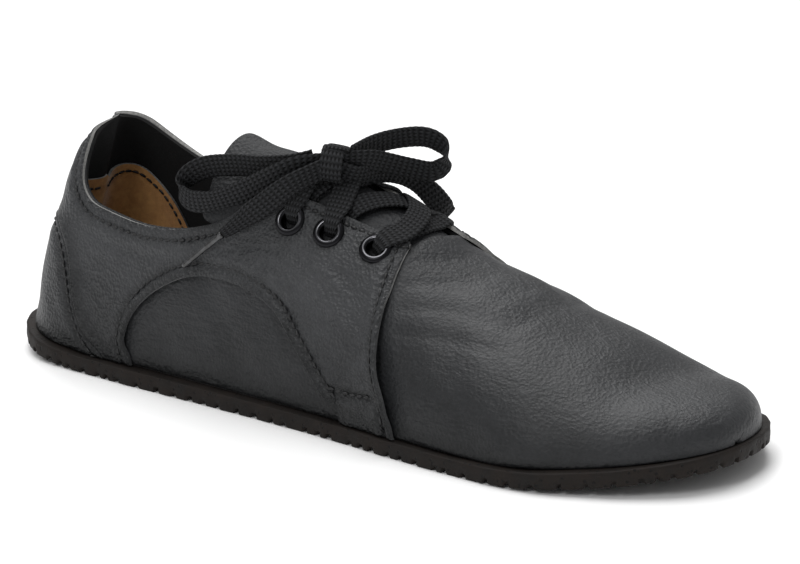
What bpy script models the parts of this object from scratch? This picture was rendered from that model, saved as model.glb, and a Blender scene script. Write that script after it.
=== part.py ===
"""Barefoot shoe for the right foot: thin lugged sole, soft leather upper, open
quarters with an arched opening, three pairs of eyelets and a flat lace in a bow.

Metres, +Z up, toe at +X, medial side at +Y. The origin is on the tread under
the heel.
"""
import functools
import math
from collections import namedtuple

import bmesh
import bpy
import numpy as np
from mathutils import Matrix, Vector

# Driving sizes
SHOE_LENGTH = 0.260
BALL_WIDTH = 0.096
INSTEP_HEIGHT = 0.072
HEEL_HEIGHT = 0.0725
SOLE_THICKNESS = 0.005
TOE_SPRING = 0.007
HEEL_LIFT = 0.004

# Clearances: between touching faces, and between two curved skins made of flat faces
GAP = 0.0003
SKIN_GAP = 0.0005
FOOT_GAP = 0.00045

# Leather and other walls
UPPER_WALL = 0.0014
QUARTER_WALL = 0.0012
COUNTER_WALL = 0.0016
TONGUE_WALL = 0.0013
PATCH_WALL = 0.0011
INSOLE_THICKNESS = 0.0018
INSOLE_MARGIN = 0.0013

# Tread and sole edge
GROOVE_WIDTH = 0.0022
GROOVE_DEPTH = 0.0016
LUG_LENGTH = 0.0140
LUG_WIDTH = 0.0150
EDGE_CHAMFER = 0.0006
EDGE_LOWER = 0.0012
END_LUG = 0.006
LONG_GROOVES = 4
LONG_GROOVE_STEPS = 11
HEEL_MARK = 0.052

# Eyelets
HOLE_RADIUS = 0.0034
EYELET_BORE = 0.0026
EYELET_FLANGE = 0.0049
FLANGE_THICKNESS = 0.0009
FLANGE_SEAT = 0.0004
EYELET_INSET = 0.0044
EYELET_SIDES = 12
HOLE_SIDES = 16

# Lace
LACE_WIDTH = 0.0072
LACE_THICKNESS = 0.0014
LACE_OVER_TONGUE = 0.0009
LACE_OVER_FLANGE = 0.0015
LACE_PAST_EDGE = 0.002
LACE_RAMP = 0.005
BAR_STEPS = 16
LACE_TUBE = 0.0019
END_TUBE = 0.0015
KNOT_RADIUS = 0.0034
TIP_RADIUS = 0.0011

# Shapes of the last's two ends: shares of SHOE_LENGTH, of travel and curve powers
HEEL_CENTRE = 0.118
HEEL_FAN = 0.17
HEEL_BACK_FULLNESS = 0.95
HEEL_ROUND = 2.05
TOE_ROUND = {-1: 0.23, 1: 0.13}
NOSE = 0.077
TOE_TIP_SIDE = 0.0625
TREAD_TOE_START = 0.72
TREAD_HEEL_END = 0.16

LATERAL, MEDIAL = -1, 1
COLUMNS = 30
ROWS = 7
TIP_TRAVEL = 0.985
FAN_SQUEEZE = 0.011

# How far cutters reach past what they cut
UNDER = 0.005
ABOVE = 1.6 * INSTEP_HEIGHT
THROAT_LOW = 0.5 * INSTEP_HEIGHT
TONGUE_LOW = 0.2 * INSTEP_HEIGHT
PAST_MIDDLE = 0.0011
HOLE_DEPTH = 0.012

# Sections from heel to toe. Shares: along of SHOE_LENGTH, lateral, medial,
# crest_side and margin of BALL_WIDTH, crest of height_size. The margin is how
# far the last's foot line stays inside the sole's edge, and the two roundness
# columns are the powers of the section's curve on each side.
Section = namedtuple(
    "Section", "along lateral medial crest crest_side round_lateral round_medial margin")
LAST = [
    Section(0.118, 0.320, 0.300, 1.020, 0.00, 1.85, 2.60, 0.061),
    Section(0.250, 0.335, 0.275, 1.035, 0.00, 1.95, 2.50, 0.056),
    Section(0.310, 0.338, 0.265, 1.030, 0.01, 2.00, 2.20, 0.052),
    Section(0.400, 0.345, 0.255, 1.020, 0.01, 2.00, 2.05, 0.050),
    Section(0.520, 0.362, 0.300, 0.885, 0.03, 2.05, 2.05, 0.048),
    Section(0.640, 0.405, 0.410, 0.684, 0.05, 2.15, 2.15, 0.044),
    Section(0.740, 0.440, 0.475, 0.542, 0.06, 2.25, 2.25, 0.040),
    Section(0.820, 0.455, 0.470, 0.425, 0.07, 2.30, 2.30, 0.036),
    Section(0.900, 0.430, 0.440, 0.295, 0.07, 2.40, 2.40, 0.032),
    Section(1.000, 0.410, 0.400, 0.220, TOE_TIP_SIDE, 2.50, 2.50, 0.030),
]

# Outlines seen from the side: along of SHOE_LENGTH, up of height_size(along)
Side = namedtuple("Side", "along up")
COLLAR_LATERAL = [
    Side(0.090, 1.010), Side(0.101, 0.985), Side(0.1065, 0.930), Side(0.109, 0.870),
    Side(0.1135, 0.812), Side(0.1215, 0.762), Side(0.138, 0.720), Side(0.166, 0.700),
    Side(0.219, 0.682), Side(0.266, 0.692), Side(0.300, 0.716), Side(0.340, 0.768),
    Side(0.364, 0.835), Side(0.376, 0.920), Side(0.378, 1.050),
]
COLLAR_MEDIAL = [
    Side(0.090, 1.010), Side(0.101, 0.998), Side(0.118, 0.968), Side(0.142, 0.910),
    Side(0.172, 0.852), Side(0.203, 0.810), Side(0.240, 0.784), Side(0.278, 0.780),
    Side(0.314, 0.798), Side(0.346, 0.845), Side(0.366, 0.905), Side(0.376, 0.970),
    Side(0.378, 1.050),
]
COUNTER_SEAM = [
    Side(0.182, 0.02), Side(0.173, 0.086), Side(0.158, 0.127), Side(0.141, 0.192),
    Side(0.127, 0.305), Side(0.115, 0.475), Side(0.100, 0.565), Side(0.084, 0.608),
    Side(0.060, 0.640), Side(0.030, 0.658), Side(-0.030, 0.670),
]
FRONT_LATERAL = [
    Side(0.638, 0.02), Side(0.634, 0.105), Side(0.625, 0.225), Side(0.610, 0.335),
    Side(0.601, 0.445), Side(0.594, 0.555), Side(0.590, 0.635), Side(0.582, 0.765),
    Side(0.576, 0.800), Side(0.568, 0.900),
]
FRONT_MEDIAL = [
    Side(0.650, 0.02), Side(0.646, 0.105), Side(0.638, 0.225), Side(0.628, 0.335),
    Side(0.620, 0.445), Side(0.613, 0.555), Side(0.607, 0.635), Side(0.594, 0.765),
    Side(0.584, 0.830), Side(0.570, 0.920),
]
ARCH = [
    Side(0.550, 0.02), Side(0.548, 0.105), Side(0.513, 0.221), Side(0.474, 0.362),
    Side(0.442, 0.470), Side(0.394, 0.530), Side(0.349, 0.541), Side(0.315, 0.526),
    Side(0.284, 0.483), Side(0.249, 0.400), Side(0.223, 0.295), Side(0.212, 0.182),
    Side(0.219, 0.105), Side(0.227, 0.02),
]
PATCH = [
    Side(-0.020, 0.755), Side(0.050, 0.762), Side(0.080, 0.755), Side(0.095, 0.732),
    Side(0.108, 0.690), Side(0.133, 0.600), Side(0.153, 0.490), Side(0.163, 0.390),
    Side(0.160, 0.280), Side(0.140, 0.205), Side(0.100, 0.180), Side(0.040, 0.205),
    Side(-0.020, 0.210),
]

# Outlines seen from above: along of SHOE_LENGTH, across of BALL_WIDTH
Plan = namedtuple("Plan", "along across")
FACING_LATERAL = [
    Plan(0.350, -0.180), Plan(0.400, -0.162), Plan(0.447, -0.150), Plan(0.494, -0.134),
    Plan(0.527, -0.122), Plan(0.560, -0.106), Plan(0.577, -0.080),
]
FACING_MEDIAL = [
    Plan(0.585, 0.145), Plan(0.560, 0.146), Plan(0.527, 0.132), Plan(0.494, 0.118),
    Plan(0.447, 0.110), Plan(0.400, 0.114), Plan(0.350, 0.130),
]
THROAT_FRONT = [Plan(0.584, -0.030), Plan(0.587, 0.040), Plan(0.588, 0.100)]
QUARTERS_FRONT = [Plan(0.640, -0.060), Plan(0.640, 0.120)]
TONGUE = [
    Plan(0.318, -0.200), Plan(0.308, -0.160), Plan(0.305, -0.080), Plan(0.303, 0.020),
    Plan(0.305, 0.090), Plan(0.309, 0.135), Plan(0.320, 0.158), Plan(0.420, 0.160),
    Plan(0.520, 0.170), Plan(0.600, 0.175), Plan(0.630, 0.140), Plan(0.636, 0.040),
    Plan(0.628, -0.090), Plan(0.600, -0.150), Plan(0.520, -0.180), Plan(0.420, -0.195),
]

# Eyelet pairs, front to back, as a share of SHOE_LENGTH
EYELETS_ALONG = [0.556, 0.4945, 0.442]

# The bow's routes: along from the heel's back, across and up, in metres
KNOT_ROUTE = [(0.1170, -0.0088, 0.0772), (0.1203, -0.0076, 0.0769), (0.1234, -0.0058, 0.0762)]
LOOP_LEFT_ROUTE = [
    (0.1163, -0.0110, 0.0768), (0.1104, -0.0154, 0.0750), (0.1005, -0.0165, 0.0731),
    (0.0905, -0.0166, 0.0720), (0.0801, -0.0174, 0.0699), (0.0742, -0.0194, 0.0665),
    (0.0730, -0.0218, 0.0624), (0.0783, -0.0230, 0.0601), (0.0880, -0.0226, 0.0620),
    (0.0985, -0.0214, 0.0666), (0.1081, -0.0194, 0.0722), (0.1138, -0.0158, 0.0754),
]
LOOP_RIGHT_ROUTE = [
    (0.1238, -0.0030, 0.0775), (0.1244, 0.0070, 0.0790), (0.1283, 0.0150, 0.0800),
    (0.1347, 0.0195, 0.0804), (0.1396, 0.0215, 0.0780), (0.1415, 0.0205, 0.0742),
    (0.1389, 0.0180, 0.0708), (0.1337, 0.0130, 0.0720), (0.1287, 0.0065, 0.0743),
    (0.1262, -0.0005, 0.0760),
]
END_LEFT_ROUTE = [
    (0.1193, -0.0119, 0.0742), (0.1140, -0.0192, 0.0705), (0.1066, -0.0226, 0.0640),
    (0.0992, -0.0245, 0.0580), (0.0927, -0.0256, 0.0530),
]
END_RIGHT_ROUTE = [
    (0.1252, -0.0030, 0.0714), (0.1260, 0.0085, 0.0703), (0.1280, 0.0142, 0.0692),
    (0.1306, 0.0190, 0.0667), (0.1332, 0.0235, 0.0621), (0.1343, 0.0280, 0.0566),
    (0.1339, 0.0310, 0.0531),
]
TIP_ROUTE = [(0.0924, -0.0257, 0.0527), (0.0857, -0.0270, 0.0469), (0.0788, -0.0284, 0.0407)]


def smooth_between(rows, column, along):
    """Read a column of a table at any place, smoothly and with no overshoot."""
    places = np.array([row[0] for row in rows])
    values = np.array([getattr(row, column) for row in rows])
    steps = np.diff(places)
    slopes = np.diff(values) / steps
    tangents = np.zeros(len(rows))
    tangents[0], tangents[-1] = slopes[0], slopes[-1]
    for i in range(1, len(rows) - 1):
        if slopes[i - 1] * slopes[i] > 0:
            before = 2 * steps[i] + steps[i - 1]
            after = steps[i] + 2 * steps[i - 1]
            tangents[i] = (before + after) / (before / slopes[i - 1] + after / slopes[i])
    along = min(max(along, places[0]), places[-1])
    k = min(max(int(np.searchsorted(places, along)) - 1, 0), len(rows) - 2)
    t = (along - places[k]) / steps[k]
    start = values[k] * (1 + 2 * t) * (1 - t) ** 2 + steps[k] * tangents[k] * t * (1 - t) ** 2
    end = values[k + 1] * t * t * (3 - 2 * t) + steps[k] * tangents[k + 1] * t * t * (t - 1)
    return float(start + end)


def clamp01(value):
    return min(max(value, 0.0), 1.0)


def tread_lift(along):
    """Height of the tread above the floor: toe spring and rounded heel edge."""
    toe = clamp01((along - TREAD_TOE_START) / (1 - TREAD_TOE_START))
    heel = clamp01((TREAD_HEEL_END - along) / TREAD_HEEL_END)
    return TOE_SPRING * toe ** 2 + HEEL_LIFT * heel ** 1.6


def foot_level(x):
    """Height at which the upper's pieces stand, a gap above the sole's top."""
    return tread_lift(x / SHOE_LENGTH) + SOLE_THICKNESS + FOOT_GAP


def height_size(along):
    """The size that heights follow: the heel's at the back, the instep's in front."""
    t = clamp01((along - HEEL_CENTRE) / (0.40 - HEEL_CENTRE))
    return HEEL_HEIGHT + (INSTEP_HEIGHT - HEEL_HEIGHT) * t


def middle_line(along):
    """Side place of the sole's middle line, which bends to the medial side at the toe."""
    t = clamp01((along - 0.5) / 0.5)
    return TOE_TIP_SIDE * BALL_WIDTH * t * t * (3 - 2 * t)


def half_width(side, along):
    """Distance from the middle line to the sole's edge, rounded off at the toe."""
    column = "lateral" if side == LATERAL else "medial"
    full = smooth_between(LAST, column, along) * BALL_WIDTH
    t = clamp01((along - (1 - TOE_ROUND[side])) / TOE_ROUND[side])
    return full * (1 - t ** 2.2) ** (1 / 2.1)


def section_place(travel):
    """Place of one column of the last, from the heel's back at 0 to the toe at 1.

    Columns fan out round the heel's centre and then run square to the shoe.
    """
    if travel < HEEL_FAN:
        return HEEL_CENTRE, travel / HEEL_FAN * math.pi / 2
    run = (travel - HEEL_FAN) / (1 - HEEL_FAN)
    return HEEL_CENTRE + (1 - HEEL_CENTRE) * math.sin(run * math.pi / 2), None


@functools.cache
def last_frame(side, travel):
    """Foot point, crest point and roundness of one half section of the bare last."""
    along, turn = section_place(travel)
    inset = smooth_between(LAST, "margin", along) * BALL_WIDTH
    back = HEEL_CENTRE * SHOE_LENGTH
    half = half_width(side, along)
    half -= inset * min(half / (0.25 * BALL_WIDTH), 1)
    column = "round_lateral" if side == LATERAL else "round_medial"
    roundness = smooth_between(LAST, column, along)
    if turn is None:
        foot_x = back + (along - HEEL_CENTRE) * (SHOE_LENGTH - inset - back) / (1 - HEEL_CENTRE)
        crest_x = foot_x
    else:
        foot_x = back - (back - inset) * max(math.cos(turn), 0) ** (2 / HEEL_ROUND)
        crest_x = back
        half *= max(math.sin(turn), 0) ** (2 / HEEL_ROUND)
        roundness = HEEL_BACK_FULLNESS + (roundness - HEEL_BACK_FULLNESS) * math.sin(turn) ** 2
    base = foot_level(foot_x)
    nose = clamp01((along - (1 - NOSE)) / NOSE)
    top = smooth_between(LAST, "crest", along) * height_size(along) - SOLE_THICKNESS - GAP
    foot = Vector((foot_x, middle_line(along) + side * half, base))
    crest_side = smooth_between(LAST, "crest_side", along) * BALL_WIDTH
    crest = Vector((crest_x, crest_side, base + max(top, 0) * max(1 - nose ** 2, 0) ** (1 / 3)))
    return foot, crest, roundness


def last_point(side, travel, climb):
    """Point of the bare last: travel from heel to toe, climb from foot line to crest."""
    foot, crest, roundness = last_frame(side, travel)
    inward = max(math.cos(climb * math.pi / 2), 0) ** (2 / roundness)
    upward = max(math.sin(climb * math.pi / 2), 0) ** (2 / roundness)
    flat = crest.lerp(foot, inward)
    return Vector((flat.x, flat.y, foot.z + (crest.z - foot.z) * upward))


def last_normal(side, travel, climb):
    """Outward direction of the last, settled by hand where the heel's columns meet."""
    if climb == 1 and travel < HEEL_FAN:
        return Vector((0, 0, 1))
    step = 0.002
    near = min(max(climb, step), 1 - step)
    back, ahead = max(travel - step, 0), min(travel + step, 1)
    forward = last_point(side, ahead, near) - last_point(side, back, near)
    upward = last_point(side, travel, near + step) - last_point(side, travel, near - step)
    normal = forward.cross(upward) * -side
    if travel == 0:
        normal.y = 0
    return normal.normalized()


@functools.cache
def grown_point(side, travel, climb, skin):
    """Point of the last grown outward by a skin; its foot stays level with the sole.

    Near the middle of the heel's fan, where columns meet, it grows mostly upward.
    """
    here = last_point(side, travel, climb)
    way = last_normal(side, travel, climb)
    if travel < HEEL_FAN:
        _, crest, _ = last_frame(side, travel)
        spread = min((here - crest).xy.length / FAN_SQUEEZE, 1)
        way = Vector((way.x * spread, way.y * spread, way.z))
    grown = here + way * skin
    if climb == 0:
        grown.z = foot_level(grown.x)
    return grown


def last_at(along, across, skin):
    """Point and outward normal of a grown last, a distance across from its crest."""
    travel = HEEL_FAN + (1 - HEEL_FAN) * math.asin(
        (along - HEEL_CENTRE) / (1 - HEEL_CENTRE)) / (math.pi / 2)
    side = MEDIAL if across > 0 else LATERAL
    foot, crest, roundness = last_frame(side, travel)
    inward = min(abs(across / (foot.y - crest.y)), 1)
    climb = math.acos(inward ** (roundness / 2)) / (math.pi / 2)
    normal = last_normal(side, travel, climb)
    return last_point(side, travel, climb) + normal * skin, normal


def to_floor(point):
    """Move a point measured from the heel's back to the part's own origin."""
    return Vector((point[0] - HEEL_MARK, point[1], point[2]))


def collection(name):
    made = bpy.data.collections.new(name)
    bpy.context.scene.collection.children.link(made)
    return made


def material(name, colour, roughness, metallic=0.0):
    made = bpy.data.materials.new(name)
    made.use_nodes = True
    shader = made.node_tree.nodes["Principled BSDF"]
    shader.inputs["Base Color"].default_value = (*colour, 1)
    shader.inputs["Roughness"].default_value = roughness
    shader.inputs["Metallic"].default_value = metallic
    return made


def new_object(name, bm, group, surface=None):
    bmesh.ops.remove_doubles(bm, verts=bm.verts, dist=1e-6)
    bmesh.ops.dissolve_degenerate(bm, dist=1e-6, edges=bm.edges)
    bmesh.ops.recalc_face_normals(bm, faces=bm.faces)
    mesh = bpy.data.meshes.new(name)
    bm.to_mesh(mesh)
    bm.free()
    made = bpy.data.objects.new(name, mesh)
    group.objects.link(made)
    if surface:
        mesh.materials.append(surface)
    else:
        made.hide_render = True
        made.display_type = "WIRE"
    return made


def loft(rings, bm):
    """Join closed rings of points into a skin, and cap its two ends."""
    rows = [[bm.verts.new(to_floor(point)) for point in ring] for ring in rings]
    count = len(rows[0])
    for first, second in zip(rows, rows[1:]):
        for i in range(count):
            j = (i + 1) % count
            bm.faces.new((first[i], first[j], second[j], second[i]))
    bm.faces.new(rows[0])
    bm.faces.new(reversed(rows[-1]))


def last_ring(travel, skin, drop):
    """One section of the last right round: up one side, down the other."""
    ring = []
    for side in (LATERAL, MEDIAL):
        half = [grown_point(side, travel, i / ROWS, skin) for i in range(ROWS + 1)]
        if drop:
            half.insert(0, half[0] - Vector((0, 0, drop)))
        ring += half if side == LATERAL else list(reversed(half))[1:]
    return ring


def last_form(name, skin, drop, group, surface=None):
    """Closed form of the last grown outward by a skin; a drop runs it below its foot."""
    bm = bmesh.new()
    rings = [last_ring(TIP_TRAVEL * i / COLUMNS, skin, drop) for i in range(COLUMNS + 1)]
    loft(rings, bm)
    return new_object(name, bm, group, surface)


def smooth_outline(points, closed=False, steps=3):
    """Curve through an outline's points, a few short lines between each two."""
    points = [Vector(p) for p in points]
    count = len(points)
    result = []
    for i in range(count if closed else count - 1):
        if closed:
            four = [points[(i + k) % count] for k in (-1, 0, 1, 2)]
        else:
            four = [points[min(max(i + k, 0), count - 1)] for k in (-1, 0, 1, 2)]
        for step in range(steps):
            t = step / steps
            result.append(0.5 * (
                2 * four[1] + (four[2] - four[0]) * t
                + (2 * four[0] - 5 * four[1] + 4 * four[2] - four[3]) * t * t
                + (3 * four[1] - four[0] - 3 * four[2] + four[3]) * t ** 3))
    if not closed:
        result.append(points[-1])
    return result


def beside(line, distance):
    """The same line moved sideways, to the right of the way it runs."""
    moved = []
    for i, point in enumerate(line):
        way = line[min(i + 1, len(line) - 1)] - line[max(i - 1, 0)]
        moved.append(tuple(point + Vector((way.y, -way.x)).normalized() * distance))
    return moved


def side_points(rows):
    return [(row.along * SHOE_LENGTH, row.up * height_size(row.along)) for row in rows]


def plan_points(rows):
    return [(row.along * SHOE_LENGTH, row.across * BALL_WIDTH) for row in rows]


def prism(name, outline, low, high, along_y, group):
    """Straight cutter: an outline drawn from the side or from above, pulled through."""
    bm = bmesh.new()
    ends = []
    for level in (low, high):
        if along_y:
            ends.append([Vector((p[0], level, p[1])) for p in outline])
        else:
            ends.append([Vector((p[0], p[1], level)) for p in outline])
    loft(ends, bm)
    return new_object(name, bm, group)


def cut(target, cutter, operation="DIFFERENCE"):
    modifier = target.modifiers.new(f"{operation.lower()} {cutter.name}", "BOOLEAN")
    modifier.operation = operation
    modifier.object = cutter
    modifier.solver = "EXACT"


def collar_cutters(group):
    """One cutter on each side for the foot's opening."""
    made = []
    for side, word, rows in ((LATERAL, "lateral", COLLAR_LATERAL), (MEDIAL, "medial", COLLAR_MEDIAL)):
        line = smooth_outline(side_points(rows))
        outline = [(line[0][0], ABOVE)] + [tuple(p) for p in line] + [(line[-1][0], ABOVE)]
        low, high = sorted((-side * PAST_MIDDLE, side * BALL_WIDTH))
        made.append(prism(f"collar_cutter_{word}", outline, low, high, True, group))
    return made


def throat_cutter(name, front, group):
    """Opening between the facings, closed in front by a row of plan points."""
    outline = smooth_outline(plan_points(FACING_LATERAL))
    outline += [Vector(p) for p in plan_points(front)]
    outline += smooth_outline(plan_points(FACING_MEDIAL))
    return prism(name, outline, THROAT_LOW, ABOVE, False, group)


def facing_across(side, along):
    """Distance across, from the crest, to the facing's edge, which borders the throat."""
    facing = FACING_LATERAL if side == LATERAL else sorted(FACING_MEDIAL)
    crest_side = smooth_between(LAST, "crest_side", along)
    return (smooth_between(facing, "across", along) - crest_side) * BALL_WIDTH


def eyelet_across(side, along):
    """Distance across to an eyelet, which sits in from the facing's edge by an inset."""
    across = facing_across(side, along)
    edge, _ = last_at(along, across, 0)
    step = 0.0001
    while (last_at(along, across, 0)[0] - edge).length < EYELET_INSET:
        across += side * step
    return across


def eyelet_places():
    """Point and outward normal of each eyelet on the quarters' outer face."""
    places = []
    for side, word in ((LATERAL, "lateral"), (MEDIAL, "medial")):
        for number, along in enumerate(EYELETS_ALONG, 1):
            point, normal = last_at(along, eyelet_across(side, along), quarter_outside())
            places.append((f"{word}_{number}", point, normal))
    return places


def quarter_inside():
    return UPPER_WALL + SKIN_GAP


def quarter_outside():
    return quarter_inside() + QUARTER_WALL


def upright(point, normal):
    """Placement with its own Z axis along a normal and its X axis toward the toe."""
    forward = (Vector((1, 0, 0)) - normal * normal.x).normalized()
    turn = Matrix((forward, normal.cross(forward), normal)).transposed().to_4x4()
    return Matrix.Translation(to_floor(point)) @ turn


def hole_cutters(group):
    made = []
    for name, point, normal in eyelet_places():
        bm = bmesh.new()
        bmesh.ops.create_cone(
            bm, cap_ends=True, segments=HOLE_SIDES, radius1=HOLE_RADIUS, radius2=HOLE_RADIUS,
            depth=HOLE_DEPTH, matrix=upright(point, normal))
        made.append(new_object(f"hole_cutter_{name}", bm, group))
    return made


def quarter_outline(side):
    """Front edge, arched opening and back seam of a quarter, seen from the side."""
    front = FRONT_LATERAL if side == LATERAL else FRONT_MEDIAL
    seam = beside(smooth_outline(side_points(COUNTER_SEAM)), GAP)
    arch = smooth_outline(side_points(ARCH))
    edge = smooth_outline(side_points(front))
    outline = [(seam[0][0], -UNDER)] + seam
    outline += [(seam[-1][0], ABOVE), (edge[-1][0], ABOVE)]
    outline += [tuple(p) for p in reversed(edge)]
    outline += [(edge[0][0], -UNDER), (arch[0][0], -UNDER)]
    outline += [tuple(p) for p in arch]
    outline += [(arch[-1][0], -UNDER)]
    return outline


def make_upper(parts, cutters, collars, holes, surface):
    upper = last_form("upper", UPPER_WALL, 0, parts, surface)
    throat = throat_cutter("throat_cutter", THROAT_FRONT, cutters)
    inside = last_form("last_cutter", 0, UNDER, cutters)
    for cutter in collars + [throat, inside] + holes:
        cut(upper, cutter)


def make_quarters(parts, cutters, collars, holes, inside, surface):
    facings = throat_cutter("facing_cutter", QUARTERS_FRONT, cutters)
    for side, word in ((LATERAL, "lateral"), (MEDIAL, "medial")):
        quarter = last_form(f"quarter_{word}", quarter_outside(), 0, parts, surface)
        low, high = sorted((side * GAP / 2, side * BALL_WIDTH))
        keep = prism(f"quarter_keep_{word}", quarter_outline(side), low, high, True, cutters)
        cut(quarter, keep, "INTERSECT")
        own_collar = [cutter for cutter in collars if word in cutter.name]
        own_holes = [cutter for cutter in holes if word in cutter.name]
        for cutter in own_collar + [facings, inside] + own_holes:
            cut(quarter, cutter)


def make_counter(parts, cutters, inside, surface):
    """Back piece over the heel, a little thicker than the quarters it meets."""
    counter = last_form("heel_counter", quarter_inside() + COUNTER_WALL, 0, parts, surface)
    seam = [tuple(p) for p in smooth_outline(side_points(COUNTER_SEAM))]
    outline = [(seam[-1][0], -UNDER), (seam[0][0], -UNDER)] + seam
    keep = prism("counter_keep", outline, -BALL_WIDTH, BALL_WIDTH, True, cutters)
    cut(counter, keep, "INTERSECT")
    cut(counter, inside)


def make_tongue(parts, cutters, surface):
    tongue = last_form("tongue", -SKIN_GAP, 0, parts, surface)
    outline = smooth_outline(plan_points(TONGUE), closed=True, steps=3)
    keep = prism("tongue_keep", outline, TONGUE_LOW, ABOVE, False, cutters)
    cut(tongue, keep, "INTERSECT")
    cut(tongue, last_form("tongue_inside_cutter", -SKIN_GAP - TONGUE_WALL, UNDER, cutters))


def make_patch(parts, cutters, surface):
    patch = last_form("heel_patch", -SKIN_GAP, 0, parts, surface)
    outline = smooth_outline(side_points(PATCH), closed=True, steps=3)
    keep = prism("patch_keep", outline, -BALL_WIDTH, BALL_WIDTH, True, cutters)
    cut(patch, keep, "INTERSECT")
    cut(patch, last_form("patch_inside_cutter", -SKIN_GAP - PATCH_WALL, UNDER, cutters))


def sole_edge(side, travel):
    """Point of the sole's edge on the tread's own height."""
    along, turn = section_place(travel)
    back = HEEL_CENTRE * SHOE_LENGTH
    half = half_width(side, along)
    x = along * SHOE_LENGTH
    if turn is not None:
        x = back - back * max(math.cos(turn), 0) ** (2 / HEEL_ROUND)
        half *= max(math.sin(turn), 0) ** (2 / HEEL_ROUND)
    return Vector((x, middle_line(along) + side * half, tread_lift(x / SHOE_LENGTH)))


def shrink(point, inset):
    """Pull a point of the sole's edge toward the middle by a small inset."""
    centre = Vector((min(max(point.x, 0.12 * SHOE_LENGTH), 0.9 * SHOE_LENGTH), 0, point.z))
    centre.y = middle_line(centre.x / SHOE_LENGTH)
    inward = centre - point
    return point + inward.normalized() * inset


def make_outsole(parts, cutters, surface):
    levels = ((EDGE_CHAMFER, 0), (0, EDGE_LOWER), (0, SOLE_THICKNESS - EDGE_CHAMFER),
              (EDGE_CHAMFER, SOLE_THICKNESS))
    rings = []
    for i in range(COLUMNS + 1):
        ring = []
        for side, order in ((LATERAL, levels), (MEDIAL, levels[::-1])):
            edge = sole_edge(side, i / COLUMNS)
            for inset, up in order:
                ring.append(shrink(edge, inset) + Vector((0, 0, up)))
        rings.append(ring)
    bm = bmesh.new()
    loft(rings, bm)
    sole = new_object("outsole", bm, parts, surface)
    for cutter in groove_cutters(cutters):
        cut(sole, cutter)


def groove_cutters(group):
    """Cross and lengthwise tread grooves, which leave lugs on a regular pitch."""
    made = []
    pitch = LUG_LENGTH + GROOVE_WIDTH
    first = -math.floor(HEEL_MARK / pitch) - 0.5
    count = math.ceil(SHOE_LENGTH / pitch) + 1
    for i in range(count):
        x = HEEL_MARK + (first + i) * pitch
        if not END_LUG < x < SHOE_LENGTH - END_LUG:
            continue
        top = tread_lift(x / SHOE_LENGTH) + GROOVE_DEPTH
        outline = [(x - GROOVE_WIDTH / 2, -UNDER), (x + GROOVE_WIDTH / 2, -UNDER),
                   (x + GROOVE_WIDTH / 2, top), (x - GROOVE_WIDTH / 2, top)]
        made.append(prism(f"cross_groove_{i}", outline, -BALL_WIDTH, BALL_WIDTH, True, group))
    pitch = LUG_WIDTH + GROOVE_WIDTH
    for i in range(LONG_GROOVES):
        y = (i - (LONG_GROOVES - 1) / 2) * pitch
        rings = []
        for along in np.linspace(-0.05, 1.05, LONG_GROOVE_STEPS + 1):
            top = tread_lift(clamp01(along)) + GROOVE_DEPTH
            left, right = y - GROOVE_WIDTH / 2, y + GROOVE_WIDTH / 2
            x = along * SHOE_LENGTH
            rings.append([(x, left, -UNDER), (x, right, -UNDER), (x, right, top), (x, left, top)])
        bm = bmesh.new()
        loft(rings, bm)
        made.append(new_object(f"long_groove_{i + 1}", bm, group))
    return made


def make_insole(parts, surface):
    rings = []
    for i in range(COLUMNS + 1):
        travel = TIP_TRAVEL * i / COLUMNS
        lateral = grown_point(LATERAL, travel, 0, -INSOLE_MARGIN)
        medial = grown_point(MEDIAL, travel, 0, -INSOLE_MARGIN)
        up = Vector((0, 0, INSOLE_THICKNESS))
        rings.append([lateral, lateral + up, medial + up, medial])
    bm = bmesh.new()
    loft(rings, bm)
    new_object("insole", bm, parts, surface)


def make_eyelets(parts, surface):
    """Tube through the leather with a rounded flange on the quarter."""
    tube = HOLE_RADIUS - GAP
    low = 2 * GAP - quarter_outside()
    crown = FLANGE_SEAT + FLANGE_THICKNESS
    profile = [
        (EYELET_BORE, low), (tube, low), (tube, FLANGE_SEAT), (EYELET_FLANGE, FLANGE_SEAT),
        (0.94 * EYELET_FLANGE, FLANGE_SEAT + 0.9 * FLANGE_THICKNESS),
        (1.15 * EYELET_BORE, crown), (EYELET_BORE, FLANGE_SEAT + 0.55 * FLANGE_THICKNESS),
    ]
    for name, point, normal in eyelet_places():
        bm = bmesh.new()
        ring = [bm.verts.new((radius, 0, up)) for radius, up in profile]
        edges = [bm.edges.new((a, b)) for a, b in zip(ring, ring[1:] + ring[:1])]
        bmesh.ops.spin(bm, geom=ring + edges, cent=(0, 0, 0), axis=(0, 0, 1), angle=math.tau,
                       steps=EYELET_SIDES, use_merge=True)
        bmesh.ops.transform(bm, matrix=upright(point, normal), verts=bm.verts)
        new_object(f"eyelet_{name}", bm, parts, surface)


def even_across(along, steps):
    """Distances across, from one eyelet to the other, that are even along the leather."""
    start, end = (eyelet_across(side, along) for side in (LATERAL, MEDIAL))
    fine = np.linspace(start, end, 200)
    spots = [last_at(along, across, 0)[0] for across in fine]
    lengths = [(b - a).length for a, b in zip(spots, spots[1:])]
    run = np.concatenate([[0], np.cumsum(lengths)])
    return np.interp(np.linspace(0, run[-1], steps + 1), run, fine)


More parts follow.
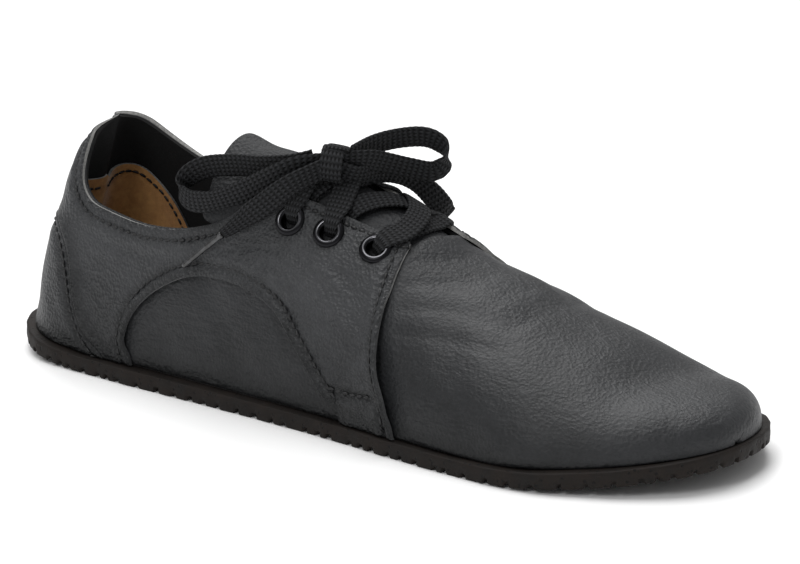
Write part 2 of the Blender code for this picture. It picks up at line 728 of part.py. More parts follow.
def make_lace_bars(parts, surface):
    """Flat bars across the throat, sagging from the eyelets onto the tongue."""
    over_tongue = LACE_OVER_TONGUE - quarter_outside()
    over_eyelet = FLANGE_THICKNESS + LACE_OVER_FLANGE
    for number, along in enumerate(EYELETS_ALONG, 1):
        rings = []
        for across in even_across(along, BAR_STEPS):
            side = MEDIAL if across > 0 else LATERAL
            point, normal = last_at(along, across, quarter_outside())
            edge, _ = last_at(along, facing_across(side, along), quarter_outside())
            inside = abs(across) < abs(facing_across(side, along))
            short = (point - edge).length * (1 if inside else -1) - LACE_PAST_EDGE
            rise = 1 - clamp01(short / LACE_RAMP)
            point += normal * (over_tongue + (over_eyelet - over_tongue) * rise)
            forward = (Vector((1, 0, 0)) - normal * normal.x).normalized() * LACE_WIDTH / 2
            thick = normal * LACE_THICKNESS
            rings.append([point - forward, point - 0.9 * forward + thick,
                          point + 0.9 * forward + thick, point + forward])
        bm = bmesh.new()
        loft(rings, bm)
        new_object(f"lace_bar_{number}", bm, parts, surface)


def cord(name, route, radius, parts, surface):
    """Round tube along a smooth curve through a route's points."""
    line = smooth_outline(route, steps=2)
    curve = bpy.data.curves.new(name, "CURVE")
    curve.dimensions = "3D"
    curve.bevel_depth = radius
    curve.bevel_resolution = 2
    curve.use_fill_caps = True
    spline = curve.splines.new("POLY")
    spline.points.add(len(line) - 1)
    for place, point in zip(spline.points, line):
        place.co = (*to_floor(point), 1)
    made = bpy.data.objects.new(name, curve)
    curve.materials.append(surface)
    parts.objects.link(made)


def make_bow(parts, lace, tip):
    cord("lace_knot", KNOT_ROUTE, KNOT_RADIUS, parts, lace)
    cord("lace_loop_left", LOOP_LEFT_ROUTE, LACE_TUBE, parts, lace)
    cord("lace_loop_right", LOOP_RIGHT_ROUTE, LACE_TUBE, parts, lace)
    cord("lace_end_left", END_LEFT_ROUTE, END_TUBE, parts, lace)
    cord("lace_end_right", END_RIGHT_ROUTE, END_TUBE, parts, lace)
    cord("lace_tip", TIP_ROUTE, TIP_RADIUS, parts, tip)


def build():
    for old in list(bpy.data.objects):
        bpy.data.objects.remove(old)
    parts = collection("barefoot_shoe")
    cutters = collection("cutters")
    leather = material("charcoal_leather", (0.062, 0.065, 0.069), 0.55)
    back_leather = material("counter_leather", (0.066, 0.069, 0.073), 0.55)
    lining = material("tongue_leather", (0.045, 0.047, 0.050), 0.6)
    suede = material("brown_suede", (0.115, 0.045, 0.015), 0.95)
    board = material("insole_board", (0.010, 0.010, 0.010), 0.9)
    rubber = material("dark_rubber", (0.014, 0.012, 0.010), 0.8)
    metal = material("black_eyelet_metal", (0.02, 0.02, 0.022), 0.3, 1.0)
    braid = material("black_braid", (0.012, 0.012, 0.013), 0.85)
    tip = material("clear_tip", (0.05, 0.05, 0.052), 0.25)
    collars = collar_cutters(cutters)
    holes = hole_cutters(cutters)
    inside = last_form("quarter_inside_cutter", quarter_inside(), UNDER, cutters)
    make_outsole(parts, cutters, rubber)
    make_insole(parts, board)
    make_upper(parts, cutters, collars, holes, leather)
    make_quarters(parts, cutters, collars, holes, inside, leather)
    make_counter(parts, cutters, inside, back_leather)
    make_tongue(parts, cutters, lining)
    make_patch(parts, cutters, suede)
    make_eyelets(parts, metal)
    make_lace_bars(parts, braid)
    make_bow(parts, braid, tip)


build()
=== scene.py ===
"""Looks of a right barefoot shoe: soft dark leather over a thin lugged sole, with a
flat lace in a bow. Metres, +Z up, toe at +X, medial side at +Y, origin on the tread
under the heel.
"""

import math
from collections import namedtuple

import bmesh
import bpy
import numpy as np
from mathutils import Matrix, Vector
from mathutils.geometry import delaunay_2d_cdt
from mathutils.kdtree import KDTree


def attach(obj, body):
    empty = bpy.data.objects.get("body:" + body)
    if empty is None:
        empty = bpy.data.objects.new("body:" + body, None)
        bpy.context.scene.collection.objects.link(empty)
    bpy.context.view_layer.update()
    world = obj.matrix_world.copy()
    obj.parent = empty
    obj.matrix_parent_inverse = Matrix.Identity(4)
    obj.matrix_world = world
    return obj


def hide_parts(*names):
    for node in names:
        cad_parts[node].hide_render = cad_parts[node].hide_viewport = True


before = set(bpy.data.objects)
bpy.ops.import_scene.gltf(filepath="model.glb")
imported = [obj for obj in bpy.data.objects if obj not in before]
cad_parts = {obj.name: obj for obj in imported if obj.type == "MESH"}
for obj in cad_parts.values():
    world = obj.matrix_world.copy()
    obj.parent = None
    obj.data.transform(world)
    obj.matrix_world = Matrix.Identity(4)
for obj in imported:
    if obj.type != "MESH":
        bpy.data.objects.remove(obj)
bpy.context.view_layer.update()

# Sizes shared with the solids
SHOE_LENGTH = 0.260
BALL_WIDTH = 0.096
INSTEP_HEIGHT = 0.072
HEEL_HEIGHT = 0.0725
SOLE_THICKNESS = 0.005
TOE_SPRING = 0.007
HEEL_LIFT = 0.004
HEEL_MARK = 0.052
FOOT_GAP = 0.00045
UPPER_WALL = 0.0014
QUARTER_WALL = 0.0013
COUNTER_WALL = 0.0015
TONGUE_WALL = 0.0014
PATCH_WALL = 0.0011
EYELET_INSET = 0.0044
LACE_WIDTH = 0.0074
LACE_THICKNESS = 0.0013

# Sizes of the scene's own details
LAYER_GAP = 0.00008
INNER_GAP = 0.0004
ROUND_OFF = 0.0006
SEAM_DEPTH, SEAM_HALF = 0.00042, 0.0007
RIDGE_RISE, RIDGE_AWAY, RIDGE_HALF = 0.00026, 0.0024, 0.0013
STITCH_PITCH = 0.0028
THREAD_RADIUS = 0.00042
THREAD_SINK = 0.00012
EYELET_HOLE = 0.0034
LUG_LONG, LUG_WIDE = 0.0081, 0.0086
INSOLE_BACK, INSOLE_FRONT = 0.0075, 0.2532
STRAND_RISE, STRAND_SINK, STRAND_CLIMB = 0.0010, 0.0028, 0.0032
HEEL_TOP_END = 0.1365

# Shape of the last's heel and toe and of the tread
HEEL_CENTRE = 0.118
HEEL_FAN = 0.17
HEEL_BACK_FULLNESS = 0.95
HEEL_ROUND = 2.05
FAN_SQUEEZE = 0.011
TOE_ROUND = {-1: 0.23, 1: 0.13}
NOSE = 0.077
TOE_TIP_SIDE = 0.0625
TREAD_TOE_START = 0.72
TREAD_HEEL_END = 0.16
TIP_TRAVEL = 0.997
LATERAL, MEDIAL = -1, 1

# Sections of the last, as in the part's own source
Section = namedtuple(
    "Section", "along lateral medial crest crest_side round_lateral round_medial margin")
LAST = [
    Section(0.118, 0.320, 0.300, 1.020, 0.00, 1.85, 2.60, 0.061),
    Section(0.250, 0.335, 0.275, 1.035, 0.00, 1.95, 2.50, 0.056),
    Section(0.310, 0.338, 0.265, 1.030, 0.01, 2.00, 2.20, 0.052),
    Section(0.400, 0.345, 0.255, 1.020, 0.01, 2.00, 2.05, 0.050),
    Section(0.520, 0.362, 0.300, 0.885, 0.03, 2.05, 2.05, 0.048),
    Section(0.640, 0.405, 0.410, 0.684, 0.05, 2.15, 2.15, 0.044),
    Section(0.740, 0.440, 0.475, 0.542, 0.06, 2.25, 2.25, 0.040),
    Section(0.820, 0.455, 0.470, 0.425, 0.07, 2.30, 2.30, 0.036),
    Section(0.900, 0.430, 0.440, 0.295, 0.07, 2.40, 2.40, 0.032),
    Section(1.000, 0.410, 0.400, 0.220, TOE_TIP_SIDE, 2.50, 2.50, 0.030),
]

# Outlines seen from the side: along of SHOE_LENGTH, up of the shoe's height there
COLLAR = {
    LATERAL: [(0.090, 1.010), (0.101, 0.985), (0.1065, 0.930), (0.109, 0.870),
              (0.1135, 0.812), (0.1215, 0.762), (0.138, 0.720), (0.166, 0.700),
              (0.219, 0.682), (0.266, 0.692), (0.300, 0.716), (0.340, 0.768),
              (0.364, 0.835), (0.376, 0.920), (0.378, 1.050)],
    MEDIAL: [(0.090, 1.010), (0.101, 0.998), (0.118, 0.968), (0.142, 0.910),
             (0.172, 0.852), (0.203, 0.810), (0.240, 0.784), (0.278, 0.780),
             (0.314, 0.798), (0.346, 0.845), (0.366, 0.905), (0.376, 0.970),
             (0.378, 1.050)],
}
COUNTER_SEAM = [
    (0.182, 0.02), (0.173, 0.086), (0.158, 0.127), (0.141, 0.192), (0.127, 0.305),
    (0.115, 0.475), (0.100, 0.565), (0.084, 0.608), (0.060, 0.640), (0.030, 0.658),
    (-0.030, 0.670)]
FRONT = {
    LATERAL: [(0.638, 0.02), (0.634, 0.105), (0.625, 0.225), (0.610, 0.335),
              (0.601, 0.445), (0.594, 0.555), (0.590, 0.635), (0.582, 0.765),
              (0.576, 0.800), (0.568, 0.900)],
    MEDIAL: [(0.650, 0.02), (0.646, 0.105), (0.638, 0.225), (0.628, 0.335),
             (0.620, 0.445), (0.613, 0.555), (0.607, 0.635), (0.594, 0.765),
             (0.584, 0.830), (0.570, 0.920)],
}
ARCH = [
    (0.550, 0.02), (0.548, 0.105), (0.513, 0.221), (0.474, 0.362), (0.442, 0.470),
    (0.394, 0.530), (0.349, 0.541), (0.315, 0.526), (0.284, 0.483), (0.249, 0.400),
    (0.223, 0.295), (0.212, 0.182), (0.219, 0.105), (0.227, 0.02)]
REINFORCE_TOP = [(0.528, 0.217), (0.568, 0.213), (0.606, 0.228)]
REINFORCE_BACK = [(0.541, 0.212), (0.548, 0.150), (0.552, 0.091), (0.554, 0.060)]
PATCH = [
    (-0.020, 0.755), (0.050, 0.762), (0.080, 0.755), (0.095, 0.732), (0.108, 0.690),
    (0.133, 0.600), (0.153, 0.490), (0.163, 0.390), (0.160, 0.280), (0.140, 0.205),
    (0.100, 0.180), (0.040, 0.205), (-0.020, 0.210)]

# Outlines seen from above: along of SHOE_LENGTH, across of BALL_WIDTH
FACING = {
    LATERAL: [(0.350, -0.180), (0.400, -0.162), (0.447, -0.150), (0.494, -0.134),
              (0.527, -0.122), (0.560, -0.106), (0.577, -0.080)],
    MEDIAL: [(0.350, 0.130), (0.400, 0.114), (0.447, 0.110), (0.494, 0.118),
             (0.527, 0.132), (0.560, 0.146), (0.585, 0.145)],
}
THROAT_FRONT = [(0.584, -0.030), (0.587, 0.040), (0.588, 0.100)]
FACING_END = {LATERAL: (0.640, -0.060), MEDIAL: (0.640, 0.120)}
TONGUE = [
    (0.318, -0.200), (0.308, -0.160), (0.305, -0.080), (0.303, 0.020), (0.305, 0.090),
    (0.309, 0.135), (0.320, 0.158), (0.420, 0.160), (0.520, 0.170), (0.600, 0.175),
    (0.630, 0.140), (0.636, 0.040), (0.628, -0.090), (0.600, -0.150), (0.520, -0.180),
    (0.420, -0.195)]
HEEL_TOP = [(0.0, 0.125), (0.035, 0.137), (0.070, 0.175), (0.105, 0.226)]
EYELETS_ALONG = [0.556, 0.4945, 0.442]

# The bow's routes, as in the part's own source
KNOT_ROUTE = [(0.1170, -0.0088, 0.0772), (0.1203, -0.0076, 0.0769), (0.1234, -0.0058, 0.0762)]
LOOP_LEFT_ROUTE = [
    (0.1163, -0.0110, 0.0768), (0.1104, -0.0154, 0.0750), (0.1005, -0.0165, 0.0731),
    (0.0905, -0.0166, 0.0720), (0.0801, -0.0174, 0.0699), (0.0742, -0.0194, 0.0665),
    (0.0730, -0.0218, 0.0624), (0.0783, -0.0230, 0.0601), (0.0880, -0.0226, 0.0620),
    (0.0985, -0.0214, 0.0666), (0.1081, -0.0194, 0.0722), (0.1138, -0.0158, 0.0754)]
LOOP_RIGHT_ROUTE = [
    (0.1238, -0.0030, 0.0775), (0.1244, 0.0070, 0.0790), (0.1283, 0.0150, 0.0800),
    (0.1347, 0.0195, 0.0804), (0.1396, 0.0215, 0.0780), (0.1415, 0.0205, 0.0742),
    (0.1389, 0.0180, 0.0708), (0.1337, 0.0130, 0.0720), (0.1287, 0.0065, 0.0743),
    (0.1262, -0.0005, 0.0760)]
END_LEFT_ROUTE = [
    (0.1193, -0.0119, 0.0742), (0.1140, -0.0192, 0.0705), (0.1066, -0.0226, 0.0640),
    (0.0992, -0.0245, 0.0580), (0.0927, -0.0256, 0.0530)]
END_RIGHT_ROUTE = [
    (0.1252, -0.0030, 0.0714), (0.1260, 0.0085, 0.0703), (0.1280, 0.0142, 0.0692),
    (0.1306, 0.0190, 0.0667), (0.1332, 0.0235, 0.0621), (0.1343, 0.0280, 0.0566),
    (0.1339, 0.0310, 0.0531)]
TIP_ROUTE = [(0.0924, -0.0257, 0.0527), (0.0857, -0.0270, 0.0469), (0.0788, -0.0284, 0.0407)]


# The last as a surface, for whole arrays of places at once

def smooth_table(places, values, along):
    """Monotone cubic through a table's rows, as in the part's own source."""
    places, values = np.asarray(places, float), np.asarray(values, float)
    steps = np.diff(places)
    slopes = np.diff(values) / steps
    tangents = np.zeros(len(places))
    tangents[0], tangents[-1] = slopes[0], slopes[-1]
    for i in range(1, len(places) - 1):
        if slopes[i - 1] * slopes[i] > 0:
            before = 2 * steps[i] + steps[i - 1]
            after = steps[i] + 2 * steps[i - 1]
            tangents[i] = (before + after) / (before / slopes[i - 1] + after / slopes[i])
    along = np.clip(along, places[0], places[-1])
    k = np.clip(np.searchsorted(places, along) - 1, 0, len(places) - 2)
    t = (along - places[k]) / steps[k]
    start = values[k] * (1 + 2 * t) * (1 - t) ** 2 + steps[k] * tangents[k] * t * (1 - t) ** 2
    end = values[k + 1] * t * t * (3 - 2 * t) + steps[k] * tangents[k + 1] * t * t * (t - 1)
    return start + end


def run_along(points):
    """Length from a line's start to each of its points."""
    return np.concatenate([[0], np.cumsum(np.linalg.norm(np.diff(points, axis=0), axis=1))])


def ease(t):
    """A share from 0 to 1 with a gentle start and end."""
    return t * t * (3 - 2 * t)


def last_column(name, along):
    """One column of the sections' table, read at places along the shoe."""
    return smooth_table([row.along for row in LAST], [getattr(row, name) for row in LAST], along)


def tread_lift(along):
    toe = np.clip((along - TREAD_TOE_START) / (1 - TREAD_TOE_START), 0, 1)
    heel = np.clip((TREAD_HEEL_END - along) / TREAD_HEEL_END, 0, 1)
    return TOE_SPRING * toe ** 2 + HEEL_LIFT * heel ** 1.6


def foot_level(x):
    return tread_lift(x / SHOE_LENGTH) + SOLE_THICKNESS + FOOT_GAP


def height_size(along):
    t = np.clip((along - HEEL_CENTRE) / (0.40 - HEEL_CENTRE), 0, 1)
    return HEEL_HEIGHT + (INSTEP_HEIGHT - HEEL_HEIGHT) * t


def middle_line(along):
    t = np.clip((along - 0.5) / 0.5, 0, 1)
    return TOE_TIP_SIDE * BALL_WIDTH * t * t * (3 - 2 * t)


def half_width(side, along):
    full = last_column("lateral" if side == LATERAL else "medial", along) * BALL_WIDTH
    t = np.clip((along - (1 - TOE_ROUND[side])) / TOE_ROUND[side], 0, 1)
    return full * (1 - t ** 2.2) ** (1 / 2.1)


def section_place(travel):
    fan = travel < HEEL_FAN
    turn = np.where(fan, np.clip(travel / HEEL_FAN, 0, 1), 1) * math.pi / 2
    run = np.clip((travel - HEEL_FAN) / (1 - HEEL_FAN), 0, 1)
    along = np.where(fan, HEEL_CENTRE, HEEL_CENTRE + (1 - HEEL_CENTRE) * np.sin(run * math.pi / 2))
    return along, turn, fan


def half_frame(side, travel):
    """Foot points, crest points and curve power of the sections on one side."""
    along, turn, fan = section_place(travel)
    inset = last_column("margin", along) * BALL_WIDTH
    back = HEEL_CENTRE * SHOE_LENGTH
    half = half_width(side, along)
    half = half - inset * np.minimum(half / (0.25 * BALL_WIDTH), 1)
    power = last_column("round_lateral" if side == LATERAL else "round_medial", along)
    run_x = back + (along - HEEL_CENTRE) * (SHOE_LENGTH - inset - back) / (1 - HEEL_CENTRE)
    fan_x = back - (back - inset) * np.clip(np.cos(turn), 0, 1) ** (2 / HEEL_ROUND)
    foot_x = np.where(fan, fan_x, run_x)
    crest_x = np.where(fan, back, run_x)
    half = np.where(fan, half * np.clip(np.sin(turn), 0, 1) ** (2 / HEEL_ROUND), half)
    power = np.where(
        fan, HEEL_BACK_FULLNESS + (power - HEEL_BACK_FULLNESS) * np.sin(turn) ** 2, power)
    base = foot_level(foot_x)
    nose = np.clip((along - (1 - NOSE)) / NOSE, 0, 1)
    top = last_column("crest", along) * height_size(along) - SOLE_THICKNESS - 0.0003
    foot = np.stack([foot_x, middle_line(along) + side * half, base], -1)
    crest_side = last_column("crest_side", along) * BALL_WIDTH
    rise = np.maximum(top, 0) * np.maximum(1 - nose ** 2, 0) ** (1 / 3)
    return foot, np.stack([crest_x, crest_side, base + rise], -1), power


def bare(travel, round_):
    """Points of the bare last: travel from heel 0 to toe 1, and round from the lateral
    foot line at -1 over the crest at 0 to the medial foot line at 1."""
    travel, round_ = np.broadcast_arrays(np.asarray(travel, float), np.asarray(round_, float))
    round_ = np.clip(np.where(travel < 0, -round_, round_), -1, 1)
    travel = np.clip(np.abs(travel), 0, 1)
    points = np.zeros(travel.shape + (3,))
    for side in (LATERAL, MEDIAL):
        pick = round_ < 0 if side == LATERAL else round_ >= 0
        foot, crest, power = half_frame(side, travel[pick])
        angle = (1 - np.abs(round_[pick])) * math.pi / 2
        inward = np.clip(np.cos(angle), 0, 1) ** (2 / power)
        upward = np.clip(np.sin(angle), 0, 1) ** (2 / power)
        made = crest + (foot - crest) * inward[..., None]
        made[..., 2] = foot[..., 2] + (crest[..., 2] - foot[..., 2]) * upward
        points[pick] = made
    return points


def outward(travel, round_):
    step = 0.003
    ahead = bare(np.minimum(travel + step, 0.999), round_) - bare(travel - step, round_)
    over = (bare(travel, np.minimum(round_ + step, 0.999))
            - bare(travel, np.maximum(round_ - step, -0.999)))
    normal = np.cross(ahead, over)
    return normal / np.maximum(np.linalg.norm(normal, axis=-1, keepdims=True), 1e-12)


def skin_at(travel, round_, height):
    """Points and outward ways of the last grown by a height, in the shoe's own frame."""
    travel, round_ = np.asarray(travel, float), np.asarray(round_, float)
    points, normals = bare(travel, round_), outward(travel, round_)
    pole = np.array([HEEL_CENTRE * SHOE_LENGTH, 0.0])
    spread = np.minimum(np.linalg.norm(points[..., :2] - pole, axis=-1) / FAN_SQUEEZE, 1)
    spread = np.where(travel < HEEL_FAN, spread, 1)
    ways = normals * np.stack([spread, spread, np.ones_like(spread)], -1)
    grown = points + ways * np.asarray(height)[..., None]
    floor = foot_level(grown[..., 0])
    grown[..., 2] = np.maximum(grown[..., 2], floor)
    grown[..., 0] -= HEEL_MARK
    return grown, normals


# Reading a place on the last from the side or from above

RUN_TRAVEL = np.linspace(HEEL_FAN, 1, 3000)
RUN_X = half_frame(LATERAL, RUN_TRAVEL)[0][:, 0]


def from_side(x, z, side):
    back = HEEL_CENTRE * SHOE_LENGTH
    run = np.interp(x, RUN_X, RUN_TRAVEL)

    def climb_at(travel):
        foot, crest, power = half_frame(side, travel)
        share = np.clip((z - foot[..., 2]) / (crest[..., 2] - foot[..., 2]), 0, 1)
        return np.arcsin(share ** (power / 2)) / (math.pi / 2)

    low, high = np.zeros_like(x), np.full_like(x, HEEL_FAN)
    for _ in range(30):
        middle = (low + high) / 2
        here = bare(middle, side * (1 - climb_at(middle)))[..., 0]
        low = np.where(here < x, middle, low)
        high = np.where(here < x, high, middle)
    travel = np.where(x < back, (low + high) / 2, run)
    return travel, side * (1 - climb_at(travel))


def from_above(x, y, side):
    travel = np.interp(x, RUN_X, RUN_TRAVEL)
    foot, crest, power = half_frame(side, travel)
    inward = np.clip((y - crest[..., 1]) / (foot[..., 1] - crest[..., 1]), 0, 1)
    return travel, side * np.arcsin(inward ** (power / 2)) / (math.pi / 2)


def settle(read, first, second, axis, side, height):
    """Place on the map whose grown point shows at the wanted place of a view."""
    a, b = first.copy(), second.copy()
    for _ in range(5):
        travel, round_ = read(a, b, side)
        points, _ = skin_at(travel, round_, height)
        a += first - (points[..., 0] + HEEL_MARK)
        b += second - points[..., axis]
    return np.stack([travel, round_], -1)


def curve_through(points, closed=False, steps=8):
    points = np.asarray(points, float)
    count = len(points)
    result = []
    for i in range(count if closed else count - 1):
        if closed:
            p = [points[(i + k) % count] for k in (-1, 0, 1, 2)]
        else:
            p = [points[min(max(i + k, 0), count - 1)] for k in (-1, 0, 1, 2)]
        for t in np.arange(steps) / steps:
            result.append(0.5 * (2 * p[1] + (p[2] - p[0]) * t
                                 + (2 * p[0] - 5 * p[1] + 4 * p[2] - p[3]) * t * t
                                 + (3 * p[1] - p[0] - 3 * p[2] + p[3]) * t ** 3))
    if not closed:
        result.append(points[-1])
    return np.array(result)


def side_line(rows, side, height):
    line = curve_through(rows)
    x, z = line[:, 0] * SHOE_LENGTH, line[:, 1] * height_size(line[:, 0])
    return settle(from_side, x, z, 2, side, height)


def plan_line(rows, side, height):
    line = curve_through(rows)
    return settle(from_above, line[:, 0] * SHOE_LENGTH, line[:, 1] * BALL_WIDTH, 1, side, height)


# The flat map in which leather is cut

MAP_TRAVEL = np.linspace(0, 1, 800)
MAP_STEPS = np.linalg.norm(np.diff(bare(MAP_TRAVEL, np.full(800, -0.6)), axis=0), axis=1)
MAP_ALONG = np.concatenate([[0], np.cumsum(np.maximum(MAP_STEPS, 1e-5))])
MAP_ROUND = 0.078


def to_flat(places):
    along = np.interp(np.abs(places[:, 0]), MAP_TRAVEL, MAP_ALONG) * np.sign(places[:, 0])
    return np.stack([along, places[:, 1] * MAP_ROUND], -1)


def from_flat(flat):
    travel = np.interp(np.abs(flat[:, 0]), MAP_ALONG, MAP_TRAVEL) * np.sign(flat[:, 0])
    return np.stack([travel, flat[:, 1] / MAP_ROUND], -1)


def meet(a, b):
    """Join two lines where they first cross: the first up to there, the second from there."""
    for i in range(len(a) - 1):
        p, r = a[i], a[i + 1] - a[i]
        q, s = b[:-1], b[1:] - b[:-1]
        cross = r[0] * s[:, 1] - r[1] * s[:, 0]
        cross = np.where(np.abs(cross) < 1e-15, 1e-15, cross)
        d = q - p
        t = (d[:, 0] * s[:, 1] - d[:, 1] * s[:, 0]) / cross
        u = (d[:, 0] * r[1] - d[:, 1] * r[0]) / cross
        hits = np.nonzero((t >= 0) & (t <= 1) & (u >= 0) & (u <= 1))[0]
        if len(hits):
            j = hits[0]
            return np.vstack([a[:i + 1], p + r * t[j], b[j + 1:]])
    return np.vstack([a, b])


def spread_evenly(line, step, closed=False):
    """The same flat line with points a step apart in the shoe's own metres."""
    if closed:
        line = np.vstack([line, line[:1]])
    fine = np.vstack([np.linspace(a, b, 6)[:-1] for a, b in zip(line, line[1:])] + [line[-1:]])
    points = bare(*from_flat(fine).T)
    run = run_along(points)
    count = max(int(round(run[-1] / step)), 3)
    marks = np.linspace(0, run[-1], count + 1)
    even = np.stack([np.interp(marks, run, fine[:, k]) for k in (0, 1)], -1)
    return even[:-1] if closed else even


def beside(line, distance):
    """A flat line moved to its left by a distance."""
    way = np.gradient(line, axis=0)
    way /= np.maximum(np.linalg.norm(way, axis=1, keepdims=True), 1e-12)
    return line + np.stack([-way[:, 1], way[:, 0]], -1) * distance


def from_heel(line):
    """The part of a line that lies on the last, from where it leaves the heel's middle."""
    inside = np.nonzero(line[:, 0] > 0.0006)[0][0]
    start = line[max(inside - 1, 0)].copy()
    start[0] = 0
    return np.vstack([start, line[inside:]])


def over_heel(line, side):
    """A collar line that rises over the heel's middle instead of leaving it at the back."""
    rise = np.array(HEEL_TOP) * [1, side]
    return np.vstack([rise, line[line[:, 0] > HEEL_TOP_END]])


# Materials

def linear(code):
    """An sRGB hex colour as linear light."""
    parts = [int(code[i:i + 2], 16) / 255 for i in (1, 3, 5)]
    return [c / 12.92 if c <= 0.04045 else ((c + 0.055) / 1.055) ** 2.4 for c in parts] + [1.0]


def add(tree, kind, inputs=None, **settings):
    """One node with its settings; an input is a value or another node's socket."""
    made = tree.nodes.new(kind)
    for key, value in settings.items():
        setattr(made, key, value)
    for key, value in (inputs or {}).items():
        if isinstance(value, bpy.types.NodeSocket):
            tree.links.new(value, made.inputs[key])
        else:
            made.inputs[key].default_value = value
    return made


def new_material(name, **sockets):
    made = bpy.data.materials.new(name)
    made.use_nodes = True
    shader = made.node_tree.nodes["Principled BSDF"]
    for key, value in sockets.items():
        shader.inputs[key.replace("_", " ")].default_value = value
    return made, made.node_tree, shader


def ramp(tree, source, stops):
    made = add(tree, "ShaderNodeValToRGB", {"Fac": source})
    points = made.color_ramp.elements
    while len(points) < len(stops):
        points.new(0.5)
    for point, (place, colour) in zip(points, stops):
        point.position = place
        point.color = linear(colour)
    return made.outputs["Color"]


def maths(tree, operation, first, second=0.0, third=0.0):
    made = add(tree, "ShaderNodeMath", {0: first, 1: second, 2: third}, operation=operation)
    return made.outputs[0]


def noise(tree, vector, size, detail, rough, stretch=None):
    if stretch:
        vector = add(tree, "ShaderNodeMapping", {"Vector": vector, "Scale": stretch}).outputs[0]
    made = add(tree, "ShaderNodeTexNoise",
               {"Vector": vector, "Scale": 1 / size, "Detail": detail, "Roughness": rough})
    return made.outputs["Fac"]


def object_space(tree):
    return add(tree, "ShaderNodeTexCoord").outputs["Object"]


def share_of(tree, value, low, high):
    """A value as its share of the way from low to high."""
    inputs = {"Value": value, "From Min": low, "From Max": high}
    return add(tree, "ShaderNodeMapRange", inputs).outputs[0]


def bump(tree, height, distance, strength, under=None):
    inputs = {"Height": height, "Distance": distance, "Strength": strength}
    if under:
        inputs["Normal"] = under
    return add(tree, "ShaderNodeBump", inputs).outputs["Normal"]


def attribute(tree, name):
    return add(tree, "ShaderNodeAttribute", attribute_name=name).outputs["Fac"]


def drummed_leather(name, dark, light, roughness, grain, wrinkle):
    """Dyed leather tumbled soft: fine pebbles, lengthwise wrinkles and a satin face.

    It is darker beside its cut edges and seams (painted shade), and low down behind the ball
    (painted shadow).
    """
    made, tree, shader = new_material(name, IOR=1.5, Specular_IOR_Level=0.30)
    where = object_space(tree)
    warp = add(tree, "ShaderNodeTexNoise", {"Vector": where, "Scale": 1 / 0.006, "Detail": 2.0})
    bent = add(tree, "ShaderNodeVectorMath", {0: warp.outputs["Color"], 1: (0.0016,) * 3},
               operation="MULTIPLY").outputs[0]
    bent = add(tree, "ShaderNodeVectorMath", {0: where, 1: bent}).outputs[0]
    pebble = add(tree, "ShaderNodeTexVoronoi",
                 {"Vector": bent, "Scale": 1 / 0.0011}).outputs["Distance"]
    fine = noise(tree, where, 0.0005, 3.0, 0.6)
    soft = noise(tree, where, 0.0035, 2.0, 0.5)
    wide = noise(tree, where, 0.022, 2.0, 0.55)
    folds = noise(tree, bent, 0.0021, 3.0, 0.6, (0.28, 1.0, 1.3))
    patchy = share_of(tree, noise(tree, where, 0.030, 2.0, 0.5), 0.38, 0.62)
    tone = maths(tree, "MULTIPLY_ADD", wide, 0.75, 0.12)
    tone = maths(tree, "MULTIPLY_ADD", soft, 0.35, tone)
    # Painted shade: the 'edge' attribute darkens the leather beside its cut edges and sunk seams.
    edge = attribute(tree, "edge")
    tone = maths(tree, "MULTIPLY_ADD", edge, 0.30, maths(tree, "SUBTRACT", tone, 0.38))
    tone = maths(tree, "MULTIPLY_ADD", pebble, 0.22, tone)
    # Painted shadow: the leather is darkened low down behind the ball, where less light falls.
    spot = add(tree, "ShaderNodeSeparateXYZ", {0: where}).outputs
    low = share_of(tree, spot["Z"], 0.040, 0.008)
    waist = share_of(tree, spot["X"], 0.200, 0.150)
    shadow = maths(tree, "MULTIPLY", maths(tree, "MULTIPLY", low, waist), 0.55)
    tone = maths(tree, "SUBTRACT", tone, shadow)
    tree.links.new(ramp(tree, tone, [(0.05, dark), (0.85, light)]), shader.inputs["Base Color"])
    rough = maths(tree, "MULTIPLY_ADD", fine, 0.16, roughness - 0.08)
    tree.links.new(maths(tree, "MULTIPLY_ADD", soft, 0.08, rough), shader.inputs["Roughness"])
    first = bump(tree, soft, 0.0006, 0.30)
    creased_by = maths(tree, "MULTIPLY", folds, maths(tree, "MULTIPLY_ADD", patchy, 0.8, 0.2))
    first = bump(tree, creased_by, 0.0016, wrinkle, first)
    first = bump(tree, pebble, 0.0009, grain, first)
    tree.links.new(bump(tree, fine, 0.0003, 0.40, first), shader.inputs["Normal"])
    return made


def cut_edge():
    """Raw cut leather edge: matt fibres, pale round the opening and darker lower down."""
    made, tree, shader = new_material("cut_edge_of_leather", Roughness=0.85, Sheen_Weight=0.2)
    where = object_space(tree)
    fibre = noise(tree, where, 0.0007, 4.0, 0.7)
    pale = ramp(tree, fibre, [(0.3, "#5E5E5D"), (0.7, "#A3A29F")])
    lower_dark = ramp(tree, fibre, [(0.3, "#161718"), (0.7, "#3A3B3D")])
    up = add(tree, "ShaderNodeSeparateXYZ", {0: where}).outputs["Z"]
    opening = share_of(tree, up, 0.040, 0.049)
    mixer = add(tree, "ShaderNodeMixRGB", {"Fac": opening, "Color1": lower_dark, "Color2": pale})
    tree.links.new(mixer.outputs[0], shader.inputs["Base Color"])
    tree.links.new(bump(tree, fibre, 0.0002, 0.6), shader.inputs["Normal"])
    return made


def black_lining():
    """Black microfibre lining: swallows the light inside the shoe."""
    made, tree, shader = new_material("black_microfibre_lining", Roughness=0.95)
    where = object_space(tree)
    nap = noise(tree, where, 0.0009, 3.0, 0.6)
    tree.links.new(ramp(tree, nap, [(0.3, "#060606"), (0.8, "#101011")]),
                   shader.inputs["Base Color"])
    tree.links.new(bump(tree, nap, 0.0002, 0.5), shader.inputs["Normal"])
    return made


